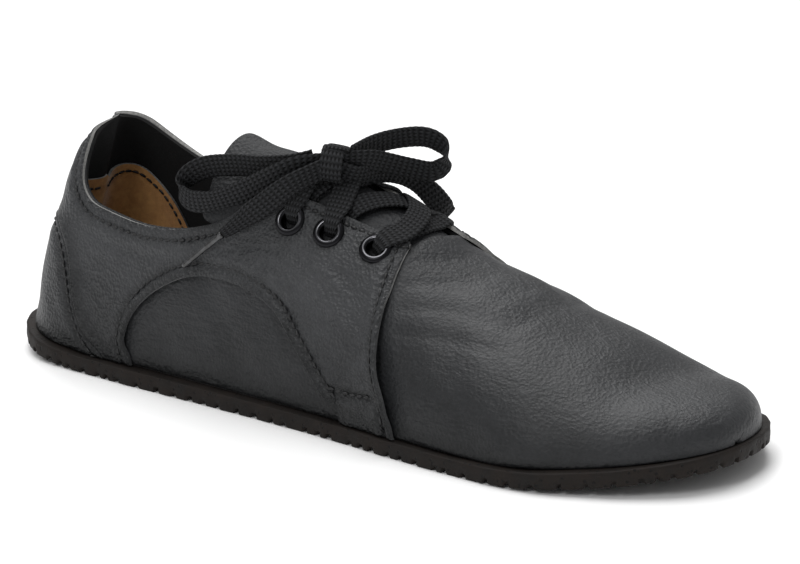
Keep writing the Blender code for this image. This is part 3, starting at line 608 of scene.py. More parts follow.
def brushed_suede():
    """Brushed brown suede: matt, warm, with darker strokes in the nap."""
    made, tree, shader = new_material("brushed_brown_suede", Roughness=0.95, Sheen_Weight=0.35,
                                      Sheen_Roughness=0.4)
    where = object_space(tree)
    nap = noise(tree, where, 0.0022, 4.0, 0.65)
    wide = noise(tree, where, 0.012, 2.0, 0.5)
    tone = maths(tree, "MULTIPLY_ADD", wide, 0.6, maths(tree, "MULTIPLY", nap, 0.5))
    colour = ramp(tree, tone, [(0.25, "#8E5A2C"), (0.8, "#D9A468")])
    tree.links.new(colour, shader.inputs["Base Color"])
    fibre = noise(tree, where, 0.0004, 3.0, 0.7)
    tree.links.new(bump(tree, fibre, 0.0003, 0.7), shader.inputs["Normal"])
    return made


def sole_rubber():
    """Moulded dark rubber: matt brown-black with small pits and a dusty face."""
    made, tree, shader = new_material("moulded_dark_rubber", IOR=1.5, Specular_IOR_Level=0.25)
    where = object_space(tree)
    pits = add(tree, "ShaderNodeTexVoronoi",
               {"Vector": where, "Scale": 1 / 0.0021}).outputs["Distance"]
    pits = share_of(tree, pits, 0.10, 0.26)
    dust = noise(tree, where, 0.006, 4.0, 0.6)
    fine = noise(tree, where, 0.0006, 3.0, 0.6)
    tone = maths(tree, "MULTIPLY_ADD", dust, 0.7, maths(tree, "MULTIPLY", fine, 0.25))
    colour = ramp(tree, tone, [(0.3, "#0D0A08"), (0.75, "#221A15")])
    # Painted shade: the pits are painted near black.
    mixer = add(tree, "ShaderNodeMixRGB", {"Fac": pits, "Color1": linear("#060505"),
                                           "Color2": colour})
    tree.links.new(mixer.outputs[0], shader.inputs["Base Color"])
    tree.links.new(maths(tree, "MULTIPLY_ADD", dust, 0.25, 0.55), shader.inputs["Roughness"])
    first = bump(tree, pits, 0.0005, 0.55)
    tree.links.new(bump(tree, fine, 0.0002, 0.5, first), shader.inputs["Normal"])
    return made


def flat_braid():
    """Flat braided cotton lace: rows of small slanted stitches, dull."""
    made, tree, shader = new_material("flat_cotton_braid", Roughness=0.8, Specular_IOR_Level=0.25)
    uv = add(tree, "ShaderNodeUVMap", uv_map="run").outputs[0]
    parts = add(tree, "ShaderNodeSeparateXYZ", {"Vector": uv})
    rows = 1 / 0.00125
    along = maths(tree, "MULTIPLY", parts.outputs["X"], math.tau * rows * 0.72)
    across = maths(tree, "MULTIPLY", parts.outputs["Y"], math.tau * rows)
    zigzag = maths(tree, "ABSOLUTE", maths(tree, "SINE", maths(tree, "MULTIPLY", across, 0.5)))
    wave = maths(tree, "SINE", maths(tree, "MULTIPLY_ADD", zigzag, 2.2, along))
    wales = maths(tree, "POWER", zigzag, 0.5)
    height = maths(tree, "MULTIPLY_ADD", wave, 0.32, maths(tree, "MULTIPLY", wales, 0.62))
    fluff = noise(tree, uv, 0.0006, 3.0, 0.6)
    height = maths(tree, "MULTIPLY_ADD", fluff, 0.25, height)
    # The stitch pattern is coloured by its height: painted shade low between the stitches, lighter
    # on the raised stitches.
    colour = ramp(tree, height, [(0.25, "#070708"), (0.95, "#2B2C2E")])
    tree.links.new(colour, shader.inputs["Base Color"])
    tree.links.new(bump(tree, height, 0.0006, 0.9), shader.inputs["Normal"])
    return made


def sewing_thread():
    """Bonded black thread: twisted, slightly glossy."""
    made, tree, shader = new_material("bonded_black_thread", Roughness=0.5)
    where = object_space(tree)
    twist = noise(tree, where, 0.0003, 2.0, 0.5)
    tree.links.new(ramp(tree, twist, [(0.3, "#070708"), (0.8, "#19191B")]),
                   shader.inputs["Base Color"])
    return made


def plated_metal(name, colour, roughness):
    """Rolled brass eyelet under a dark plating: smooth, with sharp small highlights."""
    made, tree, shader = new_material(name, Metallic=1.0)
    shader.inputs["Base Color"].default_value = linear(colour)
    where = object_space(tree)
    haze = noise(tree, where, 0.0012, 3.0, 0.6)
    tree.links.new(maths(tree, "MULTIPLY_ADD", haze, 0.18, roughness - 0.09),
                   shader.inputs["Roughness"])
    return made


def film_tip():
    """Rolled dark film round the lace's end: glossy, with paler streaks painted in as a streaky
    highlight.
    """
    made, tree, shader = new_material("rolled_dark_film", IOR=1.5, Coat_Weight=0.6,
                                      Coat_Roughness=0.12)
    where = object_space(tree)
    highlight_streak = noise(tree, where, 0.0016, 3.0, 0.6)
    # Painted highlight: the streak noise paints paler streaks into the film's colour.
    tree.links.new(ramp(tree, highlight_streak, [(0.45, "#0A0A0B"), (0.72, "#3E3F41")]),
                   shader.inputs["Base Color"])
    tree.links.new(maths(tree, "MULTIPLY_ADD", highlight_streak, 0.2, 0.2), shader.inputs["Roughness"])
    return made


def pale_floor():
    """Plain matt studio paper."""
    made, tree, shader = new_material("studio_paper", Roughness=0.9)
    shader.inputs["Base Color"].default_value = linear("#FFFFFF")
    shader.inputs["Specular IOR Level"].default_value = 0.1
    return made


SMOOTH_LEATHER = drummed_leather("smooth_charcoal_leather", "#151617", "#2E2F31", 0.42, 0.22, 0.35)
SOFT_LEATHER = drummed_leather("drummed_charcoal_leather", "#151617", "#3C3D3F", 0.39, 0.52, 0.65)
TONGUE_LEATHER = drummed_leather("soft_tongue_leather", "#1C1D1F", "#2A2B2D", 0.55, 0.40, 0.25)
RAW_EDGE = cut_edge()
LINING = black_lining()
SUEDE = brushed_suede()
RUBBER = sole_rubber()
BRAID = flat_braid()
THREAD = sewing_thread()
DARK_PLATE = plated_metal("dark_plated_brass", "#232325", 0.30)
# A lighter copy of the plated metal: painted highlight on the eyelets' rolled crown.
ROLL_HIGHLIGHT_PLATE = plated_metal("plated_brass_painted_highlight", "#5C5C5F", 0.18)
FILM = film_tip()


# Soft troughs and ridges in the leather

Crease = namedtuple("Crease", "side ends depth width")
QUARTER_PULLS = [
    [(0.413, 0.648), (0.473, 0.579), (0.534, 0.450)],
    [(0.465, 0.678), (0.522, 0.592), (0.577, 0.458)],
    [(0.514, 0.664), (0.552, 0.570), (0.591, 0.455)],
    [(0.391, 0.703), (0.463, 0.704), (0.528, 0.661)],
    [(0.144, 0.585), (0.212, 0.559), (0.268, 0.572)],
    [(0.131, 0.428), (0.171, 0.327), (0.193, 0.191)]]
QUARTER_SWELLS = [
    [(0.329, 0.594), (0.397, 0.614), (0.462, 0.533)],
    [(0.440, 0.630), (0.498, 0.560), (0.556, 0.430)],
    [(0.490, 0.672), (0.538, 0.580), (0.585, 0.450)]]
VAMP_FLEX = [
    [(0.598, 0.727), (0.625, 0.720), (0.665, 0.672)],
    [(0.603, 0.653), (0.646, 0.659), (0.699, 0.611)],
    [(0.611, 0.570), (0.666, 0.581), (0.736, 0.535)],
    [(0.617, 0.483), (0.674, 0.493), (0.735, 0.473)]]
CREASES = (
    [Crease(LATERAL, line, -0.00045, 0.0016) for line in QUARTER_PULLS]
    + [Crease(LATERAL, line, 0.00050, 0.0030) for line in QUARTER_SWELLS]
    + [Crease(side, line, -0.00040, 0.0014) for line in VAMP_FLEX for side in (LATERAL, MEDIAL)]
    + [Crease(MEDIAL, line, -0.00040, 0.0018) for line in QUARTER_PULLS[:4]])


def creased(points):
    """Rise of the leather's face, in metres, at points of the shoe's own frame."""
    x, y, z = points.T
    rise = (0.00022 * np.sin(x * 210 + z * 130 + y * 40)
            + 0.00016 * np.sin(x * 95 - z * 260 + 1.3) + 0.00010 * np.sin(x * 420 + z * 310 + 4.1))
    side = np.where(y > 0.004, MEDIAL, LATERAL)
    flat = np.stack([x, z], -1)
    for crease in CREASES:
        along, up = curve_through(crease.ends, steps=4).T
        line = np.stack([along * SHOE_LENGTH - HEEL_MARK, up * height_size(along)], -1)
        best = np.full(len(x), 1e9)
        for a, b in zip(line, line[1:]):
            way = b - a
            t = np.clip(((flat - a) @ way) / (way @ way), 0, 1)
            best = np.minimum(best, np.linalg.norm(flat - a - t[:, None] * way, axis=1))
        rise += np.where(side == crease.side, crease.depth * np.exp(-(best / crease.width) ** 2), 0)
    return rise


# Cutting, forming and sewing leather

def new_object(name, data):
    made = bpy.data.objects.new(name, data)
    bpy.context.scene.collection.objects.link(made)
    return made


def finish_object(name, vertices, faces, slots, picks=None):
    mesh = bpy.data.meshes.new(name)
    mesh.from_pydata([tuple(v) for v in vertices], [], faces)
    for slot in slots:
        mesh.materials.append(slot)
    if picks is not None:
        mesh.polygons.foreach_set("material_index", np.asarray(picks, np.int32))
    mesh.polygons.foreach_set("use_smooth", np.full(len(mesh.polygons), True))
    mesh.update()
    made = new_object(name, mesh)
    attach(made, "root")
    return made


def tube_faces(rings, count, start=0, first_cap=True):
    """Faces that join rings of count points each, then the caps at the tube's ends."""
    faces = []
    for i in range(rings - 1):
        near, far = start + i * count, start + (i + 1) * count
        for k in range(count):
            j = (k + 1) % count
            faces.append((near + k, near + j, far + j, far + k))
    if first_cap:
        faces.append(tuple(start + k for k in range(count))[::-1])
    faces.append(tuple(start + (rings - 1) * count + k for k in range(count)))
    return faces


def face_outward(made):
    """Turn an object's faces so that they look outward."""
    bm = bmesh.new()
    bm.from_mesh(made.data)
    bmesh.ops.recalc_face_normals(bm, faces=bm.faces)
    bm.to_mesh(made.data)
    bm.free()


def nearest(points, targets):
    """Distance from each flat point to the nearest of the targets."""
    tree = KDTree(len(targets))
    for i, target in enumerate(targets):
        tree.insert((*target, 0.0), i)
    tree.balance()
    return np.array([tree.find((*point, 0.0))[2] for point in points])


def inside_of(loop, distance):
    """A closed flat loop moved inward by a distance."""
    area = np.sum(loop[:, 0] * np.roll(loop[:, 1], -1) - np.roll(loop[:, 0], -1) * loop[:, 1])
    return beside(np.vstack([loop[-1:], loop, loop[:1]]), distance * np.sign(area))[1:-1]


def triangulate(points, edges):
    """Flat points and the triangles that fill the area inside their edges."""
    found = delaunay_2d_cdt([Vector(point) for point in points], edges, [], 1, 1e-9)
    return np.array([tuple(point) for point in found[0]]), found[2]


def in_hole(points, hole):
    """Which flat points lie in a hole that is seen whole from its own middle."""
    middle = hole.mean(0)
    reach = np.linalg.norm(hole - middle, axis=1)
    angle = np.arctan2(*(points - middle).T[::-1])
    ring = np.arctan2(*(hole - middle).T[::-1])
    order = np.argsort(ring)
    limit = np.interp(angle, ring[order], reach[order], period=math.tau)
    return np.linalg.norm(points - middle, axis=1) < np.minimum(limit, reach.max())


def cut_shape(outline, holes, seams, step):
    """Triangles of a flat outline without its holes, and each point's way to the cut.

    Points lie along the rim, just inside it, beside the seams and on a grid between.
    """
    rim = spread_evenly(outline, 0.6 * step, closed=True)
    loops = [rim] + [spread_evenly(hole, 0.0009, closed=True) for hole in holes]
    inner = inside_of(rim, ROUND_OFF)
    inner = inner[nearest(inner, rim) > 0.75 * ROUND_OFF]
    sewn = [np.zeros((0, 2))]
    for seam in seams:
        for offset in (-SEAM_HALF, 0.0, SEAM_HALF):
            sewn.append(spread_evenly(beside(seam, offset), 0.8 * step))
    sewn = np.vstack(sewn)
    low, high = rim.min(0), rim.max(0)
    grid = []
    for i, u in enumerate(np.arange(low[0], high[0], step)):
        v = np.arange(low[1], high[1], step * 1.15) + (0.5 * step if i % 2 else 0)
        grid.append(np.stack([np.full(len(v), u), v], -1))
    grid = np.vstack(grid)
    grid = grid[nearest(grid, np.vstack(loops + [inner, sewn])) > 0.62 * step]
    sewn = sewn[nearest(sewn, np.vstack(loops)) > 0.3 * step]
    edges, start = [], 0
    for loop in loops:
        edges += [(start + i, start + (i + 1) % len(loop)) for i in range(len(loop))]
        start += len(loop)
    flat, faces = triangulate(np.vstack(loops + [inner, sewn, grid]), edges)
    faces = np.array([face for face in faces if len(face) == 3])
    for hole in holes:
        faces = faces[~in_hole(flat[faces].mean(1), hole)]
    used = np.unique(faces)
    index = np.full(len(flat), -1)
    index[used] = np.arange(len(used))
    flat, faces = flat[used], index[faces]
    return flat, faces, nearest(flat, np.vstack(loops))


def sheet_faces(flat, faces):
    """Faces of a sheet: its top, its underside and a wall along each open edge.

    A number for each face says which slot it wears: 0 on top, 2 below, 1 on the wall.
    """
    count = len(flat)
    turned = flat[faces]
    flip = ((turned[:, 1, 0] - turned[:, 0, 0]) * (turned[:, 2, 1] - turned[:, 0, 1])
            - (turned[:, 1, 1] - turned[:, 0, 1]) * (turned[:, 2, 0] - turned[:, 0, 0])) < 0
    faces[flip] = faces[flip][:, ::-1]
    pairs = np.vstack([faces[:, [0, 1]], faces[:, [1, 2]], faces[:, [2, 0]]]).tolist()
    edges = dict.fromkeys(map(tuple, pairs))
    wall = [(b, a, a + count, b + count) for a, b in edges if (b, a) not in edges]
    picks = [0] * len(faces) + [2] * len(faces) + [1] * len(wall)
    return faces.tolist() + (faces[:, ::-1] + count).tolist() + wall, picks


def cut_leather(name, outline, base, wall, slots, step=0.0011, holes=(), seams=(), lift=None):
    """One piece of leather: cut to a flat outline, laid on the last and given its wall.

    Its face is rounded off along the cut, sinks at its seams and follows the creases.
    """
    flat, faces, near = cut_shape(outline, holes, seams, step)
    travel, round_ = from_flat(flat).T
    level = np.full(len(flat), base)
    rest, _ = skin_at(travel, round_, level + wall)
    rise = creased(rest) * np.clip(near / 0.004, 0, 1)
    # Painted shade: this value darkens the leather's colour along its cut edges and beside its sunk
    # seams.
    shade = np.clip(near / 0.005, 0, 1)
    for seam in seams:
        gap = nearest(flat, spread_evenly(seam, 0.0004))
        rise -= SEAM_DEPTH * np.exp(-(gap / SEAM_HALF) ** 2)
        rise += RIDGE_RISE * np.exp(-((gap - RIDGE_AWAY) / RIDGE_HALF) ** 2)
        gap = nearest(flat, spread_evenly(seam, 0.0008))
        shade = np.minimum(shade, np.clip(gap / 0.002, 0.25, 1))
    rise -= 0.34 * wall * np.clip(1 - near / ROUND_OFF, 0, 1) ** 2
    lift_by = lift(rest, near) if lift else 0
    top, _ = skin_at(travel, round_, base + wall + rise + lift_by)
    under, _ = skin_at(travel, round_, level + lift_by)
    all_faces, picks = sheet_faces(flat, faces)
    made = finish_object(name, np.vstack([top, under]), all_faces, slots, picks)
    # The 'edge' attribute carries the painted shade beside cut edges and seams.
    layer = made.data.attributes.new("edge", "FLOAT", "POINT")
    layer.data.foreach_set("value", np.tile(shade, 2).astype(np.float32))
    bm = bmesh.new()
    bm.from_mesh(made.data)
    bmesh.ops.remove_doubles(bm, verts=bm.verts, dist=2e-6)
    for edge in bm.edges:
        if len(edge.link_faces) == 2:
            first, second = edge.link_faces
            edge.smooth = first.material_index == second.material_index
    bm.to_mesh(made.data)
    bm.free()
    return made


def stitch_row(name, lines, height, lift=None):
    """Lock stitches along flat lines: one small capsule for each, sunk at both ends."""
    vertices, faces = [], []
    ring = [(math.cos(a), math.sin(a)) for a in np.arange(6) * math.tau / 6]
    profile = [(-0.5, 0.15), (-0.34, 0.85), (0.0, 1.0), (0.34, 0.85), (0.5, 0.15)]
    for line in lines:
        even = spread_evenly(line, STITCH_PITCH)
        places = from_flat(even)
        heights = np.full(len(even), height)
        points, normals = skin_at(places[:, 0], places[:, 1], heights)
        if lift:
            points, normals = skin_at(places[:, 0], places[:, 1], heights + lift(points, 0.003))
        ways = np.gradient(points, axis=0)
        for point, normal, way in zip(points[1:-1], normals[1:-1], ways[1:-1]):
            way = way / np.linalg.norm(way)
            across = np.cross(normal, way)
            start = len(vertices)
            for place, radius in profile:
                sink = -0.00022 * (2 * abs(place)) ** 2
                middle = point + way * place * STITCH_PITCH * 0.82 + normal * sink
                for c, s in ring:
                    out = (across * c * 1.15 + normal * s) * THREAD_RADIUS * radius
                    vertices.append(middle + out)
            faces += tube_faces(len(profile), len(ring), start)
    made = finish_object(name, vertices, faces, [THREAD])
    face_outward(made)
    return made


# The outlines on the flat map

QUARTER_BASE = UPPER_WALL + LAYER_GAP
QUARTER_TOP = QUARTER_BASE + QUARTER_WALL
COUNTER_BASE = UPPER_WALL + LAYER_GAP
COUNTER_TOP = COUNTER_BASE + COUNTER_WALL


def opening_edge(side, height):
    """Collar from the heel's middle, then the facing's edge to its front end."""
    collar = to_flat(curve_through(over_heel(side_line(COLLAR[side], side, height), side), steps=3))
    facing = to_flat(plan_line(FACING[side], side, height))
    return meet(collar, facing)


def foot_run(side, start, end):
    travel = np.linspace(start, end, 40)
    return to_flat(np.stack([travel, np.full(40, side * 1.0)], -1))


def toe_edge():
    round_ = np.linspace(-1, 1, 30)
    return to_flat(np.stack([np.full(30, TIP_TRAVEL), round_], -1))


def upper_outline():
    height = UPPER_WALL
    lateral, medial = opening_edge(LATERAL, height), opening_edge(MEDIAL, height)
    front = to_flat(plan_line(THROAT_FRONT, MEDIAL, height))
    tiny = 1e-7
    heel_lateral = to_flat(np.stack([np.full(20, tiny), np.linspace(
        from_flat(lateral[:1])[0, 1], -1, 20)], -1))
    heel_medial = to_flat(np.stack([np.full(20, tiny), np.linspace(
        1, from_flat(medial[:1])[0, 1], 20)], -1))
    lateral[0, 0] = medial[0, 0] = heel_lateral[0, 0]
    run_l = foot_run(LATERAL, tiny, TIP_TRAVEL)
    run_m = foot_run(MEDIAL, TIP_TRAVEL, tiny)
    return np.vstack([heel_lateral[:-1], run_l[:-1], toe_edge()[:-1], run_m[:-1],
                      heel_medial[:-1], medial, front[::-1], lateral[::-1][:-1]])


def heel_join(first, second):
    """Line up the middle of the heel between two heights."""
    a, b = first[1] / MAP_ROUND, second[1] / MAP_ROUND
    return to_flat(np.stack([np.full(14, 1e-7), np.linspace(a, b, 14)], -1))[1:-1]


def quarter_lines(side):
    """Flat lines of one quarter: its opening, front edge, arch and back seam."""
    height = QUARTER_TOP
    opening = opening_edge(side, height)
    end = plan_line([FACING[side][-1], FACING_END[side]], side, height)
    front = to_flat(side_line(FRONT[side], side, height))[::-1]
    opening = meet(np.vstack([opening, to_flat(end)[1:]]), front)
    arch = to_flat(side_line(ARCH, side, height))
    seam = to_flat(from_heel(side_line(COUNTER_SEAM, side, height)[::-1]))[::-1]
    return opening, front, arch, seam


def stand_off(side):
    """Lift of a quarter's front edge, which stands a little off the vamp at mid height."""
    rows = sorted((up, along) for along, up in FRONT[side])

    def lift(points, near):
        x = (points[:, 0] + HEEL_MARK) / SHOE_LENGTH
        up = points[:, 2] / height_size(x)
        edge = np.interp(up, [r[0] for r in rows], [r[1] for r in rows])
        back = (edge - x) * SHOE_LENGTH
        middle = np.exp(-((up - 0.36) / 0.20) ** 2)
        low = np.clip((0.046 - points[:, 2]) / 0.004, 0, 1) * np.clip(
            (points[:, 2] - 0.009) / 0.004, 0, 1)
        return (0.0020 * middle * np.exp(-(np.clip(back, 0, None) / 0.0055) ** 2)
                + 0.0010 * low * np.exp(-(near / 0.0026) ** 2))

    return lift


def quarter_outline(side):
    opening, _, arch, seam = quarter_lines(side)
    foot = side * MAP_ROUND
    opening = opening.copy()
    opening[-1, 1] = foot
    arch = arch.copy()
    arch[0, 1] = arch[-1, 1] = foot
    seam = seam.copy()
    seam[0, 1] = foot
    return np.vstack([opening, arch, seam, heel_join(seam[-1], opening[0])])


def eyelet_place(side, along):
    """Map place of an eyelet, in from the facing's edge by its inset."""
    rows = sorted(FACING[side])
    across = smooth_table([r[0] for r in rows], [r[1] for r in rows], along) * BALL_WIDTH
    travel = HEEL_FAN + (1 - HEEL_FAN) * math.asin(
        (along - HEEL_CENTRE) / (1 - HEEL_CENTRE)) / (math.pi / 2)
    x = np.array([np.interp(travel, RUN_TRAVEL, RUN_X)])
    _, round_ = from_above(x, np.array([across]), side)
    edge = bare(np.array([travel]), round_)[0]
    probe = round_[0] + side * np.linspace(0, 0.5, 400)
    run = np.linalg.norm(bare(np.full(400, travel), probe) - edge, axis=1)
    return travel, float(np.interp(EYELET_INSET, run, probe))


EYELETS = {(side, number): eyelet_place(side, along)
           for side in (LATERAL, MEDIAL) for number, along in enumerate(EYELETS_ALONG, 1)}


def ring_round(travel, round_, radius):
    """Flat loop that is a circle on the last, for an eyelet's hole."""
    d = 0.004
    here = bare(np.array([travel]), np.array([round_]))[0]
    du = (bare(np.array([travel + d]), np.array([round_]))[0] - here) / d
    dv = (bare(np.array([travel]), np.array([round_ + d]))[0] - here) / d
    a = du / np.linalg.norm(du)
    b = dv - a * (dv @ a)
    b /= np.linalg.norm(b)
    grid = np.array([[du @ a, dv @ a], [du @ b, dv @ b]])
    turns = np.arange(28) * math.tau / 28
    steps = np.linalg.solve(grid, np.array([np.cos(turns), np.sin(turns)]) * radius)
    return to_flat(np.stack([travel + steps[0], round_ + steps[1]], -1))


def holes_on(sides):
    return [ring_round(*EYELETS[key], EYELET_HOLE) for key in EYELETS if key[0] in sides]


# The leather pieces

def make_upper():
    outline = upper_outline()
    made = cut_leather("upper_shell", outline, 0.0, UPPER_WALL,
                       [SMOOTH_LEATHER, LINING, LINING], 0.00135,
                       holes_on((LATERAL, MEDIAL)))
    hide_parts("upper")
    return made


def inset_line(line, distance, trim):
    """A flat line moved aside by a distance and cut short by a trim at both ends."""
    made = beside(line, distance)
    run = run_along(made)
    return made[(run > trim) & (run < run[-1] - trim)]


def make_quarters():
    for side, word in ((LATERAL, "lateral"), (MEDIAL, "medial")):
        opening, front, arch, seam = quarter_lines(side)
        collar_stitch = inset_line(opening, 0.0030 * side, 0.003)
        front_line = front[front[:, 1] * side > opening_front_round(opening, side)]
        front_stitch = inset_line(front_line, 0.0031 * side, 0.002)
        arch_stitch = inset_line(arch, 0.0030 * side, 0.0015)
        seams = [collar_stitch, front_stitch, arch_stitch]
        steps = []
        if side == LATERAL:
            seams.append(to_flat(side_line(REINFORCE_TOP, side, QUARTER_TOP)))
            steps.append(to_flat(side_line(REINFORCE_BACK, side, QUARTER_TOP)))
        made = cut_leather(f"quarter_{word}_leather", quarter_outline(side), QUARTER_BASE,
                           QUARTER_WALL, [SOFT_LEATHER, RAW_EDGE, LINING], 0.0010,
                           holes_on((side,)), seams + steps, stand_off(side))
        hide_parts(f"quarter_{word}")
        stitches = stitch_row(f"quarter_{word}_stitches", seams, QUARTER_TOP - THREAD_SINK,
                              lift=stand_off(side))


def opening_front_round(opening, side):
    """How far round the front edge starts, where the facing ends."""
    fronts = np.abs(opening[:, 0] - opening[:, 0].max()) < 0.004
    return np.abs(opening[fronts][:, 1]).min() + 1e-4


def make_counter():
    height = COUNTER_TOP
    lines = {}
    for side in (LATERAL, MEDIAL):
        seam = from_heel(side_line(COUNTER_SEAM, side, height)[::-1])
        line = to_flat(seam)
        line[:, 0] *= -side
        line[:, 1] = -np.abs(line[:, 1])
        line[0, 0] = 0
        line[-1, 1] = -MAP_ROUND
        lines[side] = line
    left, right = lines[MEDIAL][::-1], lines[LATERAL]
    left[:, 0] = -np.abs(left[:, 0])
    right[:, 0] = np.abs(right[:, 0])
    foot = np.stack([np.linspace(right[-1, 0], left[0, 0], 60), np.full(60, -MAP_ROUND)], -1)
    top = np.vstack([left, right[1:]])
    outline = np.vstack([top, foot[1:-1]])
    stitch = inset_line(top, -0.0022, 0.0015)
    made = cut_leather("heel_counter_leather", outline, COUNTER_BASE, COUNTER_WALL,
                       [SOFT_LEATHER, RAW_EDGE, LINING], 0.0010, (), [stitch])
    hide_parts("heel_counter")
    stitch_row("heel_counter_stitches", [stitch], COUNTER_TOP - THREAD_SINK)


def make_patch():
    """Suede grip patch inside the heel, sewn round with its pale cut rim."""
    height = -0.0005
    halves = []
    for side in (LATERAL, MEDIAL):
        line = side_line(PATCH, side, height)
        first, last = np.flatnonzero(line[:, 0] > 0.0006)[[0, -1]]
        half = np.abs(to_flat(line[first - 1:last + 2])) * [-side, -1]
        halves.append(half if side == LATERAL else half[-2:0:-1])
    outline = np.vstack(halves)
    stitch = spread_evenly(outline, 0.001, closed=True)
    middle = stitch.mean(0)
    pull = stitch - middle
    size = np.linalg.norm(pull, axis=1, keepdims=True)
    stitch = middle + pull * (1 - 0.0023 / size)
    made = cut_leather("heel_grip_suede", outline, -INNER_GAP - PATCH_WALL, PATCH_WALL,
                       [LINING, RAW_EDGE, SUEDE], 0.0011)
    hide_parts("heel_patch")
    stitch_row("heel_grip_stitches", [np.vstack([stitch, stitch[:1]])],
                       -INNER_GAP - PATCH_WALL - 0.00005)


def make_tongue():
    height = -INNER_GAP
    closed = []
    line = curve_through(TONGUE, True)
    x, y = line[:, 0] * SHOE_LENGTH, line[:, 1] * BALL_WIDTH
    travel = np.interp(x, RUN_X, RUN_TRAVEL)
    crest_y = half_frame(LATERAL, travel)[1][:, 1]
    for px, py, cy in zip(x, y, crest_y):
        side = MEDIAL if py > cy else LATERAL
        closed.append(settle(from_above, np.array([px]), np.array([py]), 1, side, height)[0])
    outline = to_flat(np.array(closed))

    def curl(points, near):
        back = points[:, 0] + HEEL_MARK
        return 0.0022 * np.clip((0.102 - back) / 0.022, 0, 1) ** 1.5

    made = cut_leather("tongue_leather_leaf", outline, height - TONGUE_WALL, TONGUE_WALL,
                       [TONGUE_LEATHER, RAW_EDGE, LINING], 0.0011, (), (), curl)
    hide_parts("tongue")


# Sole, insole

def sole_outline():
    """The sole's edge seen from above, in even steps, and its length."""
    count = 420
    travel = np.sin(np.linspace(0, math.pi / 2, count)) * 0.35
    travel = np.unique(np.concatenate([np.linspace(0, 1, count), travel]))
    along, turn, fan = section_place(travel)
    back = HEEL_CENTRE * SHOE_LENGTH
    edges = []
    for side in (LATERAL, MEDIAL):
        half = half_width(side, along)
        x = np.where(fan, back - back * np.clip(np.cos(turn), 0, 1) ** (2 / HEEL_ROUND),
                     along * SHOE_LENGTH)
        half = np.where(fan, half * np.clip(np.sin(turn), 0, 1) ** (2 / HEEL_ROUND), half)
        edges.append(np.stack([x, middle_line(along) + side * half], -1))
    outline = np.vstack([edges[0], edges[1][::-1][1:-1]])
    closed = np.vstack([outline, outline[:1]])
    run = run_along(closed)
    marks = np.linspace(0, run[-1], int(run[-1] / 0.00055), endpoint=False)
    even = np.stack([np.interp(marks, run, closed[:, k]) for k in (0, 1)], -1)
    return even, run[-1]


def notch_depth(marks, total):
    """Irregular notches in the sole's lower edge, 3 to 9 mm apart."""
    rng = np.random.default_rng(7)
    place, depth = 0.0, np.zeros(len(marks))
    while place < total:
        width = rng.uniform(0.0010, 0.0020)
        deep = rng.uniform(0.5, 1.0)
        gap = np.abs((marks - place + total / 2) % total - total / 2)
        depth = np.maximum(depth, deep * np.clip((width / 2 + 0.0003 - gap) / 0.0006, 0, 1))
        place += rng.uniform(0.0035, 0.0090)
    return depth


def make_outsole():
    """Rubber sole: side wall with notched lower edge, and a tread of staggered lugs."""
    outline, total = sole_outline()
    count = len(outline)
    marks = np.arange(count) / count * total
    notch = notch_depth(marks, total)
    lift = tread_lift(outline[:, 0] / SHOE_LENGTH)
    inward = inside_of(outline, 1.0) - outline
    wave = (0.00010 * np.sin(marks * 310) + 0.00008 * np.sin(marks * 790 + 1))
    rows = [(0.0005, 0.0), (0.00012, 0.00035), (0.0, 0.0012), (0.0, 0.0020), (0.0001, 0.0034),
            (0.00005, 0.0046), (0.0003, 0.00492), (0.0010, 0.0050)]
    vertices = []
    for k, (inset, up) in enumerate(rows):
        low = up < 0.0019
        push = np.where(low, notch * 0.0013, 0) + inset + (0 if k in (0, 7) else 1) * wave
        ring = outline + inward * push[:, None]
        z = lift + up + (notch * (0.0014 - up) * 0.9 if low else 0)
        vertices.append(np.column_stack([ring[:, 0] - HEEL_MARK, ring[:, 1], z]))
    faces = tube_faces(len(rows), count, first_cap=False)
    bottom = vertices[0]
    step = 0.0013
    xs = np.arange(outline[:, 0].min(), outline[:, 0].max(), step)
    ys = np.arange(outline[:, 1].min(), outline[:, 1].max(), step)
    grid = np.array([(x, y) for x in xs for y in ys])
    low_rim = np.column_stack([bottom[:, 0] + HEEL_MARK, bottom[:, 1]])
    grid = grid[nearest(grid, low_rim) > 0.9 * step]
    flat = np.vstack([low_rim, grid])
    flat, tread = triangulate(flat, [(i, (i + 1) % count) for i in range(count)])
    start = sum(len(v) for v in vertices)
    x, y = flat.T
    cell_x = np.mod(x + 0.5 * LUG_LONG * (np.floor(y / LUG_WIDE) % 2), LUG_LONG) / LUG_LONG
    cell_y = np.mod(y, LUG_WIDE) / LUG_WIDE
    away = np.maximum(np.abs(cell_x - 0.5), np.abs(cell_y - 0.5))
    lug = np.clip((0.5 - away - 0.09) / 0.07, 0, 1)
    edge = np.clip(nearest(flat, low_rim) / 0.0018, 0, 1)
    z = tread_lift(x / SHOE_LENGTH) + 0.0013 * (1 - lug) * edge
    own = np.arange(len(flat)) < count
    z[own] = bottom[:, 2]
    vertices.append(np.column_stack([x - HEEL_MARK, y, z]))
    for face in tread:
        faces.append(tuple(start + i for i in face)[::-1])
    made = finish_object("outsole_rubber", np.vstack(vertices), faces, [RUBBER])
    bm = bmesh.new()
    bm.from_mesh(made.data)
    bmesh.ops.remove_doubles(bm, verts=bm.verts, dist=1e-6)
    bmesh.ops.recalc_face_normals(bm, faces=bm.faces)
    for edge_ in bm.edges:
        if len(edge_.link_faces) == 2 and edge_.calc_face_angle(0) > math.radians(50):
            edge_.smooth = False
    bm.to_mesh(made.data)
    bm.free()
    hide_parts("outsole")


